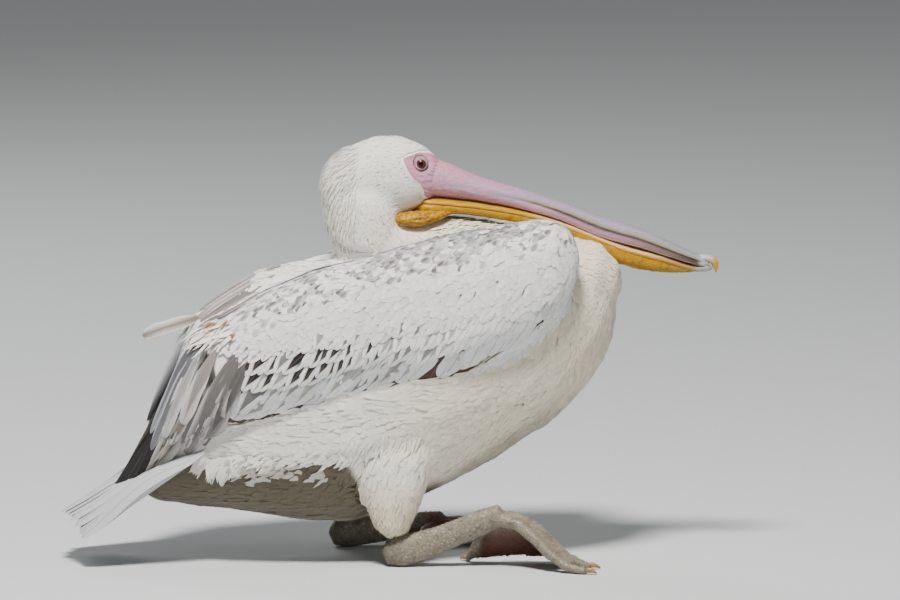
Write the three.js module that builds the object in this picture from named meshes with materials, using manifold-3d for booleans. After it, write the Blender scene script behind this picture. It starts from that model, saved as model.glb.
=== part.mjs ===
// A great white pelican resting on its heels with its neck drawn in, life size.
// Millimetres, +X is forward (where the bill points), +Y is the bird's left, +Z is up.
// The origin is on the floor, under the middle of the bird's length.
import * as THREE from "three";
import { mergeVertices } from "three/addons/utils/BufferGeometryUtils.js";
import Module from "manifold-3d";

const wasm = await Module();
wasm.setup();

// ---------------------------------------------------------------- driving sizes
const GAP = 0.3; // between touching solids
const CROWN_HEIGHT = 517; // top of the head above the floor
const BILL_TIP = 401; // how far forward the bill's nail reaches
const TAIL_TIP = -400; // how far back the tail reaches
const BODY_WIDTH = 272; // over the folded wings
const TARSUS_LENGTH = 128; // heel to toe base
const STRIDE = 56; // the left leg stands this much further back
const WING_DROP = 18; // the left wrist hangs this much lower
const WEB_THICKNESS = 2.4;
const EYE_RADIUS = 9.5;
const LEFT = new THREE.Vector3(0, 1, 0);
const FORWARD = new THREE.Vector3(1, 0, 0);

// ---------------------------------------------------------------- solids
// A closed geometry as a solid that can be joined and cut.
function solid(geometry) {
  const bare = geometry.clone();
  bare.deleteAttribute("normal");
  bare.deleteAttribute("uv");
  const merged = mergeVertices(bare, 1e-3);
  return new wasm.Manifold(
    new wasm.Mesh({
      numProp: 3,
      vertProperties: merged.attributes.position.array,
      triVerts: new Uint32Array(merged.index.array),
    }),
  );
}

// The biggest body of a solid, so that a cut leaves no crumbs.
function biggest(made) {
  return made.decompose().reduce((a, b) => (a.volume() > b.volume() ? a : b));
}

function cut(made, ...tools) {
  return biggest(tools.reduce((left, tool) => left.subtract(tool), made));
}

function join(...pieces) {
  return pieces.reduce((a, b) => a.add(b));
}

function block(low, high) {
  const size = high.map((h, i) => h - low[i]);
  const box = new THREE.BoxGeometry(...size);
  box.translate(...high.map((h, i) => (h + low[i]) / 2));
  return solid(box);
}

const FLOOR = block([-600, -400, -200], [600, 400, 0]);

// A smooth value through the stations' values.
function through(values, t) {
  const last = values.length - 1;
  const place = Math.min(t * last, last - 1e-9);
  const i = Math.floor(place);
  const at = (k) => values[Math.max(0, Math.min(last, k))];
  const [a, b, c, d] = [at(i - 1), at(i), at(i + 1), at(i + 2)];
  const f = place - i;
  const bend = 2 * a - 5 * b + 4 * c - d + (3 * (b - c) + d - a) * f;
  return b + 0.5 * f * (c - a + bend * f);
}

// A body form: a sphere drawn out along a line of stations and swollen to each station's
// section. A station is [x, y, z, half width, height above, depth below, squareness];
// the first and the last are the closed ends. Sections stand square to the line, or upright.
function form(stations, { sides, rows = stations.length - 1, grow = 0, upright = false }) {
  const centres = stations.map(([x, y, z]) => new THREE.Vector3(x, y, z));
  const line = new THREE.CatmullRomCurve3(centres, false, "centripetal");
  const field = (k, t) => through(stations.map((s) => s[k] ?? 2), t);
  const ball = new THREE.SphereGeometry(1, sides, rows);
  const points = ball.attributes.position;
  const centre = new THREE.Vector3();
  for (let i = 0; i < points.count; i++) {
    const row = Math.floor(i / (sides + 1));
    const around = (2 * Math.PI * (i % (sides + 1))) / sides;
    const t = row / rows;
    line.getPoint(t, centre);
    const along = upright ? FORWARD : line.getTangent(t);
    const across = LEFT.clone().addScaledVector(along, -LEFT.dot(along)).normalize();
    const up = new THREE.Vector3().crossVectors(along, across);
    const end = row === 0 ? -1 : row === rows ? 1 : 0;
    if (end) {
      centre.addScaledVector(line.getTangent(t), end * grow);
    } else {
      const [c, s] = [Math.cos(around), Math.sin(around)];
      const power = 2 / field(6, t);
      const wide = Math.max(field(3, t), 0.2) + grow;
      const tall = Math.max(field(s > 0 ? 4 : 5, t), 0.2) + grow;
      centre.addScaledVector(across, Math.sign(c) * Math.abs(c) ** power * wide);
      centre.addScaledVector(up, Math.sign(s) * Math.abs(s) ** power * tall);
    }
    points.setXYZ(i, centre.x, centre.y, centre.z);
  }
  const made = solid(ball);
  return made.volume() > 0 ? made : solid(turned(ball));
}

// The same geometry with its faces the other way round.
function turned(geometry) {
  const flipped = geometry.clone();
  const index = flipped.index.array;
  for (let i = 0; i < index.length; i += 3) {
    [index[i + 1], index[i + 2]] = [index[i + 2], index[i + 1]];
  }
  return flipped;
}

// Everything on the left of a line drawn in the side view, as a slab right through the bird.
// A positive offset moves the slab away from the line.
function beyond({ at, towards }, offset) {
  const from = new THREE.Vector2(...at);
  const along = new THREE.Vector2(...towards).sub(from).normalize();
  const left = new THREE.Vector2(-along.y, along.x);
  const reach = 1200;
  const corner = (a, b) => from.clone().addScaledVector(along, a).addScaledVector(left, b);
  const near = [corner(-reach, offset), corner(reach, offset)];
  const outline = new THREE.Shape([...near, corner(reach, reach), corner(-reach, reach)]);
  const slab = new THREE.ExtrudeGeometry(outline, { depth: 600, bevelEnabled: false });
  slab.rotateX(Math.PI / 2); // the outline's y becomes z, its depth runs to -y
  slab.translate(0, 300, 0);
  const made = solid(slab);
  return made.volume() > 0 ? made : solid(turned(slab));
}

function mirrored(stations, sign) {
  return stations.map(([x, y, z, ...rest]) => [x, y * sign, z, ...rest]);
}

// ---------------------------------------------------------------- trunk
// An egg on its side, rising to the breast: belly low and level, back under the scapulars.
const TRUNK = [
  [-308, 0, 88, 16, 10, 9],
  [-284, 0, 108, 42, 28, 35, 2.2],
  [-262, 0, 122, 56, 110, 51, 2.2],
  [-238, 0, 134, 66, 167, 68, 2.2],
  [-205, 0, 150, 82, 176, 87, 2.2],
  [-160, 0, 168, 98, 186, 112, 2.2],
  [-110, 0, 188, 108, 177, 141, 2.2],
  [-50, 0, 208, 115, 157, 164, 2.2],
  [10, 0, 228, 116, 128, 165, 2.2],
  [70, 0, 248, 112, 106, 158, 2.2],
  [130, 0, 268, 101, 80, 146, 2.2],
  [180, 0, 284, 82, 60, 127, 2.1],
  [216, 0, 297, 50, 36, 90],
  [234, 0, 306, 14, 12, 24],
];
const trunkForm = (grow) => form(TRUNK, { sides: 20, grow, upright: true });

// ---------------------------------------------------------------- neck, in two lengths
// The lower length swells forward and up out of the breast.
const NECK_LOWER = [
  [60, 0, 175, 40, 40, 40],
  [95, 0, 210, 88, 60, 92, 2.2],
  [130, 0, 245, 97, 66, 103, 2.1],
  [165, 0, 280, 94, 70, 103],
  [195, 0, 310, 84, 66, 94],
  [219, 0, 334, 70, 50, 78],
  [240, 0, 354, 50, 32, 52],
  [256, 0, 370, 20, 10, 16],
];
// The upper length runs back over the shoulders, between the wrists,
const NECK_FOLD = [
  [284, 0, 329, 10, 10, 10],
  [271, 0, 331, 38, 30, 36],
  [243, 0, 336, 60, 46, 56],
  [205, 0, 346, 62, 50, 54],
  [165, 0, 358, 54, 47, 46],
  [128, 0, 366, 49, 48, 42],
  [88, 0, 373, 46, 46, 42],
  [45, 0, 374, 46, 50, 44],
  [5, 0, 375, 46, 49, 46],
  [-25, 0, 375, 40, 36, 40],
  [-48, 0, 375, 12, 10, 12],
];
// and then turns up and forward into the head.
const NECK_RISE = [
  [-12, 0, 338, 12, 10, 10],
  [-14, 0, 352, 36, 34, 36],
  [-18, 0, 376, 45, 42, 44],
  [-24, 0, 402, 47, 50, 46],
  [-28, 0, 430, 48, 54, 44],
  [-24, 0, 458, 40, 50, 40],
  [-18, 0, 476, 14, 14, 14],
];
// The cuts that part the neck, as lines in the side view. Each length lies on a line's left.
const NECK_SEAT = { at: [0, 326], towards: [100, 326] }; // the fold lies on the lower length
const NECK_BACK = { at: [-50, 400], towards: [-50, 300] }; // and stops ahead of the back,
const NECK_COLLAR = { at: [0, 369], towards: [100, 369] }; // but passes over it
const NECK_ROOT = { at: [60, 326], towards: [230, 170] }; // where it leaves the breast
const neckLowerForm = (grow) => form(NECK_LOWER, { sides: 18, rows: 9, grow });
const neckFoldForm = (grow) => form(NECK_FOLD, { sides: 14, grow });
const neckRiseForm = (grow) => form(NECK_RISE, { sides: 14, rows: 7, grow });

// ---------------------------------------------------------------- head
// Long and narrow: a full nape, a domed crown and a brow that slopes down to the bill.
const HEAD = [
  [-85, 0, 452, 5, 8, 8],
  [-77, 0, 452, 24, 26, 27],
  [-60, 0, 455, 34, 38, 38],
  [-37, 0, 460, 39, 47, 44],
  [-12, 0, 465, 42, CROWN_HEIGHT - 465, 47, 2.1],
  [12, 0, 466, 40, 51, 46, 2.1],
  [36, 0, 466, 34, 41, 38, 2.1],
  [55, 0, 466, 27, 28, 27, 2.1],
  [70, 0, 465, 18, 13, 16],
  [80, 0, 464, 6, 4, 6],
];
const headForm = (grow) => form(HEAD, { sides: 16, grow });

const EYE = [35.5, 24.5, 485.5];
function eyeForm(sign, grow = 0) {
  const ball = new THREE.SphereGeometry(EYE_RADIUS + grow, 10, 7);
  ball.translate(EYE[0], EYE[1] * sign, EYE[2]);
  return solid(ball);
}

// ---------------------------------------------------------------- bill
const BILL_UPPER = [
  [34, 0, 462, 10, 10, 12],
  [46, 0, 461, 25, 20, 18, 2.1],
  [68, 0, 459, 25, 22, 18, 2.1],
  [109, 0, 449, 22, 16, 14, 2.1],
  [158, 0, 437, 19.5, 13.5, 11],
  [207, 0, 422, 18.5, 11.5, 10],
  [256, 0, 402, 19.5, 13, 11],
  [305, 0, 387, 20, 12.5, 10],
  [345, 0, 372, 18, 9, 8],
  [374, 0, 361, 12, 7, 6],
  [390, 0, 357, 6, 5, 5],
];
// The nail: a hook that turns down over the tip of the lower half.
const NAIL = [
  [374, 0, 364, 4, 3, 3],
  [383, 0, 364, 7.5, 4, 4],
  [393, 0, 360, 7, 5.5, 4],
  [BILL_TIP - 4, 0, 353.5, 5, 3.6, 4],
  [BILL_TIP - 3.2, 0, 345, 1, 1, 1],
];
const BILL_LOWER = [
  [30, 0, 438, 12, 5, 5],
  [44, 0, 437, 25, 7.5, 5],
  [84, 0, 433, 23, 7.5, 4.5],
  [132, 0, 426, 20, 7, 4.5],
  [181, 0, 415, 18, 7, 4.5],
  [230, 0, 398, 18, 7, 4.5],
  [279, 0, 378, 19, 7, 4.5],
  [328, 0, 364, 18.5, 7, 4.5],
  [366, 0, 351.5, 12, 6, 4],
  [386, 0, 350.5, 7.5, 5, 3.5],
  [393, 0, 350.5, 2, 1.5, 1.5],
];
// The pouch: pleated against the neck, slack under the far half of the bill, with a lobe
// that folds out on each side of the throat.
const POUCH = [
  [24, 0, 428, 12, 6, 8],
  [44, 0, 430, 27, 8, 8],
  [84, 0, 428, 23, 6, 7],
  [132, 0, 421, 20, 6, 7],
  [181, 0, 410, 18, 6, 7],
  [230, 0, 394, 18, 6, 7],
  [268, 0, 378, 18.5, 6, 15],
  [304, 0, 368, 18, 6, 17],
  [338, 0, 359, 16, 5, 13],
  [364, 0, 352, 11, 4, 6],
  [378, 0, 350, 4, 2, 2],
];
const LOBE = [
  [2, 24, 421, 4, 4, 4],
  [12, 27, 418, 12, 8, 8],
  [32, 28, 418, 14, 10, 9],
  [54, 23, 421, 12, 7, 6],
  [78, 16, 427, 4, 3, 3],
];
const billUpperForm = (grow) => form(BILL_UPPER, { sides: 12, rows: 12, grow });
const nailForm = (grow) => form(NAIL, { sides: 8, rows: 6, grow });
const billLowerForm = (grow) => form(BILL_LOWER, { sides: 8, grow });
function pouchForm(grow) {
  const lobes = [1, -1].map((s) => form(mirrored(LOBE, s), { sides: 8, rows: 5, grow }));
  return join(form(POUCH, { sides: 8, rows: 11, grow }), ...lobes);
}

// ---------------------------------------------------------------- wings
// The folded wing from the wrist back to the tip of the long feathers, seen as a lens that
// leans on the trunk. Its outer face is half the body's width from the midline.
const HALF = BODY_WIDTH / 2;
const WING = [
  [224, 88, 375, 4, 8, 8],
  [219, 88, 373, 14, 25, 25],
  [210, 88, 369, 24, 43, 44, 2.2],
  [194, 87, 362, HALF - 99, 61, 61, 2.2],
  [165, 87, 349, HALF - 92, 75, 74, 2.3],
  [120, 87, 332, HALF - 88, 85, 81, 2.3],
  [70, 88, 318, HALF - 88, 90, 88, 2.3],
  [15, 88, 307, HALF - 88, 88, 84, 2.3],
  [-40, 86, 294, HALF - 86, 85, 80, 2.3],
  [-100, 80, 277, HALF - 83, 85, 81, 2.3],
  [-160, 70, 257, HALF - 82, 80, 82, 2.3],
  [-207, 60, 236, HALF - 84, 72, 71, 2.2],
  [-240, 50, 217, HALF - 89, 73, 73, 2.1],
  [-262, 42, 195, HALF - 94, 68, 61],
  [-280, 36, 162, HALF - 100, 50, 38],
  [-302, 30, 131, HALF - 108, 26, 20],
  [-326, 24, 104, HALF - 118, 9, 7],
  [-357, 18, 73, 6, 2, 2],
];
const dropped = ([x, y, z, ...rest], sign) => {
  const share = THREE.MathUtils.clamp((x + 300) / 500, 0, 1);
  return [x, y, sign > 0 ? z - WING_DROP * share : z, ...rest];
};
const wingForm = (sign, grow) =>
  form(
    mirrored(WING, sign).map((station) => dropped(station, sign)),
    { sides: 18, grow, upright: true },
  );
// The long feathers of the hand and the innermost ones of the arm start behind this line.
const WING_TIP = { at: [-205, 168], towards: [-238, 318] };

// One loose feather stands out from the rump.
const RUMP_FEATHER = [
  [-230, -19, 300, 1.2, 3, 3],
  [-250, -22, 295, 1.6, 8, 7],
  [-275, -25, 288, 1.6, 9, 8],
  [-294, -27, 281, 1.2, 6, 5],
  [-303, -28, 278, 0.6, 1, 1],
];

// ---------------------------------------------------------------- tail
// A short rounded fan, higher along its middle.
const TAIL = [
  [-208, 0, 168, 20, 8, 10],
  [-228, 0, 160, 40, 12, 18],
  [-265, 0, 144, 54, 10, 16],
  [-305, 0, 122, 66, 7, 9],
  [-345, 0, 96, 76, 5, 5],
  [-378, 0, 73, 72, 4, 4],
  [-394, 0, 62, 46, 3, 3],
  [TAIL_TIP, 0, 58, 12, 1.5, 1.5],
];
const TAIL_CAMBER = 25 / 70 ** 2; // how far the edges drop, per square millimetre outwards
function tailForm(grow) {
  return form(TAIL, { sides: 14, grow }).warp((p) => {
    p[2] -= TAIL_CAMBER * p[1] * p[1];
  });
}

// ---------------------------------------------------------------- legs
// Each leg is made for the right side at y < 0 and mirrored for the left.
const HEEL_X = 4;
const TARSUS_LEAN = THREE.MathUtils.degToRad(21.5); // how steeply it rises from the heel
const TOE_BASE = [HEEL_X + TARSUS_LENGTH * Math.cos(TARSUS_LEAN), -94, 62];
const THIGH = [
  [-8, -56, 176, 12, 20, 20],
  [-6, -62, 158, 38, 62, 58, 2.1],
  [-3, -69, 126, 42, 58, 58, 2.1],
  [0, -75, 92, 34, 39, 42],
  [-1, -78, 66, 25, 27, 31],
  [-3, -78, 46, 18, 19, 22],
  [-6, -77, 34, 11, 11, 12],
];
const TARSUS = [
  [-16, -75, 18, 4, 5, 6],
  [-9, -75, 18, 12, 13, 16],
  [6, -76, 19.5, 15, 21, 21.2],
  [24, -79, 23, 12, 19, 19],
  [52, -84, 33, 10, 16.5, 16.5],
  [84, -89, 46, 9.5, 16, 15.5],
  [106, -92, 55, 11, 16.5, 15],
  [TOE_BASE[0] + 2, TOE_BASE[1], TOE_BASE[2] + 1, 13.5, 15, 13],
  [TOE_BASE[0] + 14, TOE_BASE[1] - 2, TOE_BASE[2] - 3, 7, 6, 6],
];
// The right toe base is held up, with the toes arched down from it. The left one lies low.
const ARCH = { right: 1, left: 0.12 };
const ARCH_FROM = 19; // heights over this one are lowered
const arched = (stations, arch) =>
  stations.map(([x, y, z, ...rest]) => [x, y, z - (1 - arch) * Math.max(0, z - ARCH_FROM), ...rest]);
// A toe runs from the toe base over its knuckles to its pad; the claw goes on from there.
const TOES = {
  outer: [
    [124, -98, 60],
    [148, -110, 55],
    [166, -121, 40],
    [183, -131, 22],
    [204, -142, 8],
    [226, -151, 3.4],
  ],
  middle: [
    [124, -93, 62],
    [150, -98, 60],
    [172, -102, 48],
    [190, -106, 30],
    [209, -110, 13],
    [232, -114, 3.5],
  ],
  inner: [
    [120, -86, 60],
    [141, -81, 55],
    [159, -75, 42],
    [176, -69, 25],
    [195, -63, 10],
    [213, -58, 3.4],
  ],
  hind: [
    [114, -84, 52],
    [108, -74, 42],
    [101, -64, 25],
    [95, -55, 11],
    [90, -48, 2.6],
  ],
};
const TOE_RADII = { outer: [9, 5], middle: [9.5, 5.2], inner: [8.5, 5], hind: [7, 4.6] };
const CLAW_LENGTH = { outer: 13, middle: 14, inner: 13, hind: 11 };
const WEBS = [
  ["outer", "middle"],
  ["middle", "inner"],
  ["inner", "hind"],
];

function toeForm(name, arch, grow) {
  const line = arched(TOES[name], arch);
  const [thick, thin] = TOE_RADII[name];
  const last = line.length - 1;
  const swell = (i) => thick + ((thin - thick) * i) / last;
  const inner = line.map((p, i) => [...p, swell(i), swell(i), swell(i)]);
  const before = line[0].map((v, k) => v - (line[1][k] - v) * 0.25);
  const after = line[last].map((v, k) => v + (v - line[last - 1][k]) * 0.2);
  const ends = [[...before, 4, 4, 4], ...inner, [...after, 2.5, 2.5, 2.5]];
  return form(ends, { sides: 6, grow });
}

// The claw: a short hook that leaves the toe's end and turns down to the floor.
function clawForm(name, arch, grow) {
  const line = arched(TOES[name], arch).map((p) => new THREE.Vector3(...p));
  const end = line[line.length - 1];
  const ahead = end.clone().sub(line[line.length - 2]).setZ(0).normalize();
  const long = CLAW_LENGTH[name];
  const at = (share, z, thick) => {
    const p = end.clone().addScaledVector(ahead, long * share);
    return [p.x, p.y, z, thick, thick, thick];
  };
  const hook = [
    at(-0.05, 5, 2),
    at(0.15, 5.4, 3.2),
    at(0.6, 5, 2.6),
    at(0.95, 3.2, 1.5),
    at(1.1, 1.2, 0.7),
  ];
  return form(hook, { sides: 6, grow });
}

// A web: a thin plate ruled between two toes, whose free edge curves in between their ends.
const WEB_REACH = 0.97; // how far along the toes it goes
const WEB_BITE = 0.16; // how far its edge curves in
function webForm([nameA, nameB], arch) {
  const curves = [nameA, nameB].map(
    (n) => new THREE.CatmullRomCurve3(arched(TOES[n], arch).map((p) => new THREE.Vector3(...p))),
  );
  const plate = new THREE.BoxGeometry(1, 1, 1, 4, 2, 1);
  const points = plate.attributes.position;
  const place = (along, across) => {
    const bite = 1 - WEB_BITE * Math.sin(Math.PI * across);
    const [a, b] = curves.map((c) => c.getPoint(Math.max(0, along * bite * WEB_REACH)));
    const p = a.lerp(b, across);
    p.z = Math.max(p.z, WEB_THICKNESS / 2);
    return p;
  };
  const step = 0.02;
  for (let i = 0; i < points.count; i++) {
    const along = points.getX(i) + 0.5;
    const across = points.getY(i) + 0.5;
    const p = place(along, across);
    const [fore, aft] = [Math.min(along + step, 1), Math.max(along - step, 0)];
    const [far, near] = [Math.min(across + step, 1), Math.max(across - step, 0)];
    const du = place(fore, across).sub(place(aft, across));
    const dv = place(along, far).sub(place(along, near));
    const normal = new THREE.Vector3().crossVectors(du, dv).normalize();
    p.addScaledVector(normal, points.getZ(i) * WEB_THICKNESS);
    points.setXYZ(i, p.x, p.y, p.z);
  }
  const made = solid(plate);
  return made.volume() > 0 ? made : solid(turned(plate));
}

function legSolids(arch) {
  const names = Object.keys(TOES);
  const tarsusForm = (grow) => form(arched(TARSUS, arch), { sides: 12, grow });
  const clawsGrown = names.map((n) => clawForm(n, arch, GAP));
  const toes = names.map((n) => toeForm(n, arch, 0));
  const webs = WEBS.map((pair) => webForm(pair, arch));
  return {
    tarsus: cut(tarsusForm(0), FLOOR),
    tarsusGrown: tarsusForm(GAP),
    foot: cut(join(...toes, ...webs), tarsusForm(GAP), ...clawsGrown, FLOOR),
    claws: names.map((n) => [n, cut(clawForm(n, arch, 0), FLOOR)]),
  };
}

// Mirrors a right-hand solid for the left leg and sets it back by the stride.
function otherSide(made) {
  return made.mirror([0, 1, 0]).translate([-STRIDE, 0, 0]);
}

// ---------------------------------------------------------------- colours
const paint = (colour, roughness, metalness = 0) =>
  new THREE.MeshStandardMaterial({ color: colour, roughness, metalness });
const WHITE_PLUMAGE = paint("#eeeae0", 0.85);
const CREAM_PLUMAGE = paint("#efe9d6", 0.85);
const WING_PLUMAGE = paint("#e2e1dd", 0.8);
const QUILL_GREY = paint("#8d8983", 0.7);
const BILL_MAUVE = paint("#b9a3b4", 0.35);
const POUCH_YELLOW = paint("#d9a514", 0.45);
const NAIL_YELLOW = paint("#d7a640", 0.35);
const LEG_GREY = paint("#9c9590", 0.55);
const CLAW_HORN = paint("#d5b67a", 0.4);
const IRIS_RED = paint("#5a2417", 0.1);

const bird = new THREE.Group();
function show(name, made, material) {
  const mesh = made.getMesh();
  const count = mesh.numVert;
  const places = new Float32Array(count * 3);
  for (let i = 0; i < count; i++) {
    places.set(mesh.vertProperties.subarray(i * mesh.numProp, i * mesh.numProp + 3), i * 3);
  }
  const geometry = new THREE.BufferGeometry();
  geometry.setAttribute("position", new THREE.BufferAttribute(places, 3));
  geometry.setIndex(new THREE.BufferAttribute(mesh.triVerts, 1));
  geometry.computeVertexNormals();
  const piece = new THREE.Mesh(geometry, material);
  piece.name = name;
  bird.add(piece);
}

// ---------------------------------------------------------------- putting it together
const SIDES = { right: -1, left: 1 };

// Bill: the nail sits in the upper half, which rests on the lower half and its pouch.
show("bill_nail", nailForm(0), NAIL_YELLOW);
show("bill_upper", cut(billUpperForm(0), nailForm(GAP)), BILL_MAUVE);
show("bill_lower", cut(billLowerForm(0), billUpperForm(GAP), nailForm(GAP)), POUCH_YELLOW);
const billTools = [billUpperForm(GAP), billLowerForm(GAP), nailForm(GAP)];
show("pouch", cut(pouchForm(0), ...billTools), POUCH_YELLOW);
const mouthTools = [...billTools, pouchForm(GAP)];

// Head: feathered, with its bare patches, round the eyes and behind the bill.
const eyeTools = [eyeForm(1, GAP), eyeForm(-1, GAP)];
for (const [side, sign] of Object.entries(SIDES)) {
  show("eye_" + side, eyeForm(sign), IRIS_RED);
}
show("head", cut(headForm(0), ...eyeTools, ...mouthTools), WHITE_PLUMAGE);

// Neck and trunk are one mass of flesh, parted by thin flat cuts.
const flesh = (grow) =>
  join(trunkForm(grow), neckLowerForm(grow), neckFoldForm(grow), neckRiseForm(grow));
const mass = cut(flesh(0), headForm(GAP), ...mouthTools);
const foldedOver = (offset) =>
  join(beyond(NECK_SEAT, offset).intersect(beyond(NECK_BACK, offset)), beyond(NECK_COLLAR, offset));
const above = mass.intersect(foldedOver(GAP / 2));
const below = mass.subtract(foldedOver(-GAP / 2));
show("neck_upper", biggest(above), CREAM_PLUMAGE);
show("neck_lower", biggest(below.intersect(beyond(NECK_ROOT, GAP / 2))), CREAM_PLUMAGE);
show("trunk", cut(below, beyond(NECK_ROOT, -GAP / 2)), CREAM_PLUMAGE);
const bodyTools = [flesh(GAP), headForm(GAP), ...mouthTools];

// Wings: everything outside the body, parted at the midline and where the long feathers start.
function farHalf(sign) {
  const [low, high] = sign > 0 ? [-400, GAP / 2] : [-GAP / 2, 400];
  return block([-600, low, -50], [600, high, 600]);
}
const tipZone = beyond(WING_TIP, GAP / 2);
const tipZoneGrown = beyond(WING_TIP, -GAP / 2);
const wingTools = [];
for (const [side, sign] of Object.entries(SIDES)) {
  const whole = cut(wingForm(sign, 0), ...bodyTools, farHalf(sign));
  show("wing_" + side, cut(whole, tipZoneGrown), WING_PLUMAGE);
  show("wing_tip_" + side, biggest(whole.intersect(tipZone)), QUILL_GREY);
  wingTools.push(wingForm(sign, GAP));
}
show("tail", cut(tailForm(0), trunkForm(GAP), ...wingTools), WHITE_PLUMAGE);
const feather = form(RUMP_FEATHER, { sides: 6 });
show("rump_feather", cut(feather, trunkForm(GAP), ...wingTools), WHITE_PLUMAGE);

// Legs: thigh under the flank, bare tarsus, webbed foot and its four claws.
const placed = { right: (made) => made, left: otherSide };
for (const side of Object.keys(SIDES)) {
  const leg = legSolids(ARCH[side]);
  const place = placed[side];
  const thigh = place(form(THIGH, { sides: 12 }));
  const thighTools = [trunkForm(GAP), ...wingTools, place(leg.tarsusGrown), FLOOR];
  show("thigh_" + side, cut(thigh, ...thighTools), CREAM_PLUMAGE);
  show("tarsus_" + side, place(leg.tarsus), LEG_GREY);
  show("foot_" + side, place(leg.foot), LEG_GREY);
  for (const [toe, claw] of leg.claws) {
    show("claw_" + side + "_" + toe, place(claw), CLAW_HORN);
  }
}

export default bird;
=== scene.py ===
import math

import bmesh
import bpy
import numpy as np
from mathutils import Matrix, Vector, noise
from mathutils.bvhtree import BVHTree
from mathutils.kdtree import KDTree


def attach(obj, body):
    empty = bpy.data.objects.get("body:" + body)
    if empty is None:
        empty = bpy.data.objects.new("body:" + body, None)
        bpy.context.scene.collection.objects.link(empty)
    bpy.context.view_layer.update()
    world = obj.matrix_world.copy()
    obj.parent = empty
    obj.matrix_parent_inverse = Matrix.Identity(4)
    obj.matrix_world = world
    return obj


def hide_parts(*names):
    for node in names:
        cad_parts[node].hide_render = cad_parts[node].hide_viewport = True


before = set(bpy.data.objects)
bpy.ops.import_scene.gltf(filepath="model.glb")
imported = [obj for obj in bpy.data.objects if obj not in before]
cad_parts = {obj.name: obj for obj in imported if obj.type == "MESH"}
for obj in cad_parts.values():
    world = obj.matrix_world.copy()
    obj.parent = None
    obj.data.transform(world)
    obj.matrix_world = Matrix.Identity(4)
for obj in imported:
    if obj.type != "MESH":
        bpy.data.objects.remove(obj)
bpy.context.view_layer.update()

# ---------------------------------------------------------------- skin
# The bird's soft body in one skin from bill base to tail root and down to the webbed feet. It is
# bare, pink and folded round the eyes, grey and scaly on the legs. Elsewhere it lies inside the
# plumage by the coat's depth, and the feathers grow on it.
MM = 0.001
SKIN_NODES = ["trunk", "neck_lower", "neck_upper", "head", "wing_right", "wing_left",
              "thigh_right", "thigh_left"]
SKIN_GRAIN = 3.6 * MM  # size of the skin's faces
SKIN_EASING = 14  # rounds that soften the solids' flat faces
LEG_NODES = ["tarsus_right", "foot_right", "tarsus_left", "foot_left"]
LEG_GRAIN = 2.0 * MM
LEG_EASING = 9
FACE_CUTS = 3  # how often each edge of the bare face is divided
EYE_AT = (35.5, 485.5)  # the eye's middle in the side view, in millimetres
BODY_COAT = 2.6  # depth of the plumage, in millimetres
HEAD_COAT = 1.3
STRIDE = 56  # the left foot stands this much further back than the right one
# Outline of the bare face in the side view.
FACE = [(65, 487), (58, 493), (46, 497.5), (34, 499), (21, 495.5), (13, 493), (16, 485), (19, 478),
        (26, 468), (34, 461), (38.5, 453), (39.5, 446), (60, 430), (90, 440), (90, 480)]
draw = np.random.default_rng(1207)


def merged(names):
    """The named solids in one bmesh, their loose triangles joined."""
    bm = bmesh.new()
    for name in names:
        bm.from_mesh(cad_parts[name].data)
    bmesh.ops.remove_doubles(bm, verts=bm.verts, dist=1e-6)
    return bm


def shown(name, bm_or_mesh, *materials):
    """An object with that mesh, smooth, at the origin."""
    mesh = bm_or_mesh
    if isinstance(bm_or_mesh, bmesh.types.BMesh):
        mesh = bpy.data.meshes.new(name)
        bm_or_mesh.to_mesh(mesh)
        bm_or_mesh.free()
    mesh.polygons.foreach_set("use_smooth", np.ones(len(mesh.polygons), bool))
    piece = bpy.data.objects.new(name, mesh)
    bpy.context.scene.collection.objects.link(piece)
    for material in materials:
        mesh.materials.append(material)
    return piece


def grown_together(bm, grain):
    """Those solids run together into one closed surface of small faces."""
    holder = shown("solids", bm)
    remesh = holder.modifiers.new("Remesh", "REMESH")
    remesh.mode = "VOXEL"
    remesh.voxel_size = grain
    settled = holder.evaluated_get(bpy.context.evaluated_depsgraph_get())
    mesh = bpy.data.meshes.new_from_object(settled)
    bpy.data.objects.remove(holder)
    return mesh


def places(mesh):
    """The mesh's points as an array, in metres."""
    flat = np.empty(len(mesh.vertices) * 3)
    mesh.vertices.foreach_get("co", flat)
    return flat.reshape(-1, 3)


def normals(mesh):
    """The mesh's outward directions at its points."""
    flat = np.empty(len(mesh.vertices) * 3)
    mesh.vertex_normals.foreach_get("vector", flat)
    return flat.reshape(-1, 3)


def move_to(mesh, points):
    mesh.vertices.foreach_set("co", points.ravel())
    mesh.update()


def surface_of(*meshes):
    """Those meshes as one surface that rays and nearest points are found on."""
    points, polygons = [], []
    for mesh in meshes:
        first = len(points)
        points += places(mesh).tolist()
        polygons += [[first + i for i in f.vertices] for f in mesh.polygons]
    return BVHTree.FromPolygons(points, polygons)


def ease(mesh, rounds):
    """Softens flat faces and seams but keeps the large form: twice the smooth shape less its own
    smooth shape."""
    ends = np.empty(len(mesh.edges) * 2, int)
    mesh.edges.foreach_get("vertices", ends)
    one, other = ends.reshape(-1, 2).T
    count = len(mesh.vertices)
    degree = np.bincount(ends, minlength=count)[:, None]

    def smooth(points):
        for _ in range(rounds):
            total = np.stack([
                np.bincount(one, points[other, k], count) + np.bincount(other, points[one, k], count)
                for k in range(3)], axis=1)
            points = 0.5 * points + 0.5 * total / degree
        return points

    once = smooth(places(mesh))
    move_to(mesh, 2 * once - smooth(once))


def ramp(value, low, high):
    """0 below low, 1 above high, smooth in between."""
    share = np.clip((value - low) / (high - low), 0, 1)
    return share * share * (3 - 2 * share)


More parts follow.
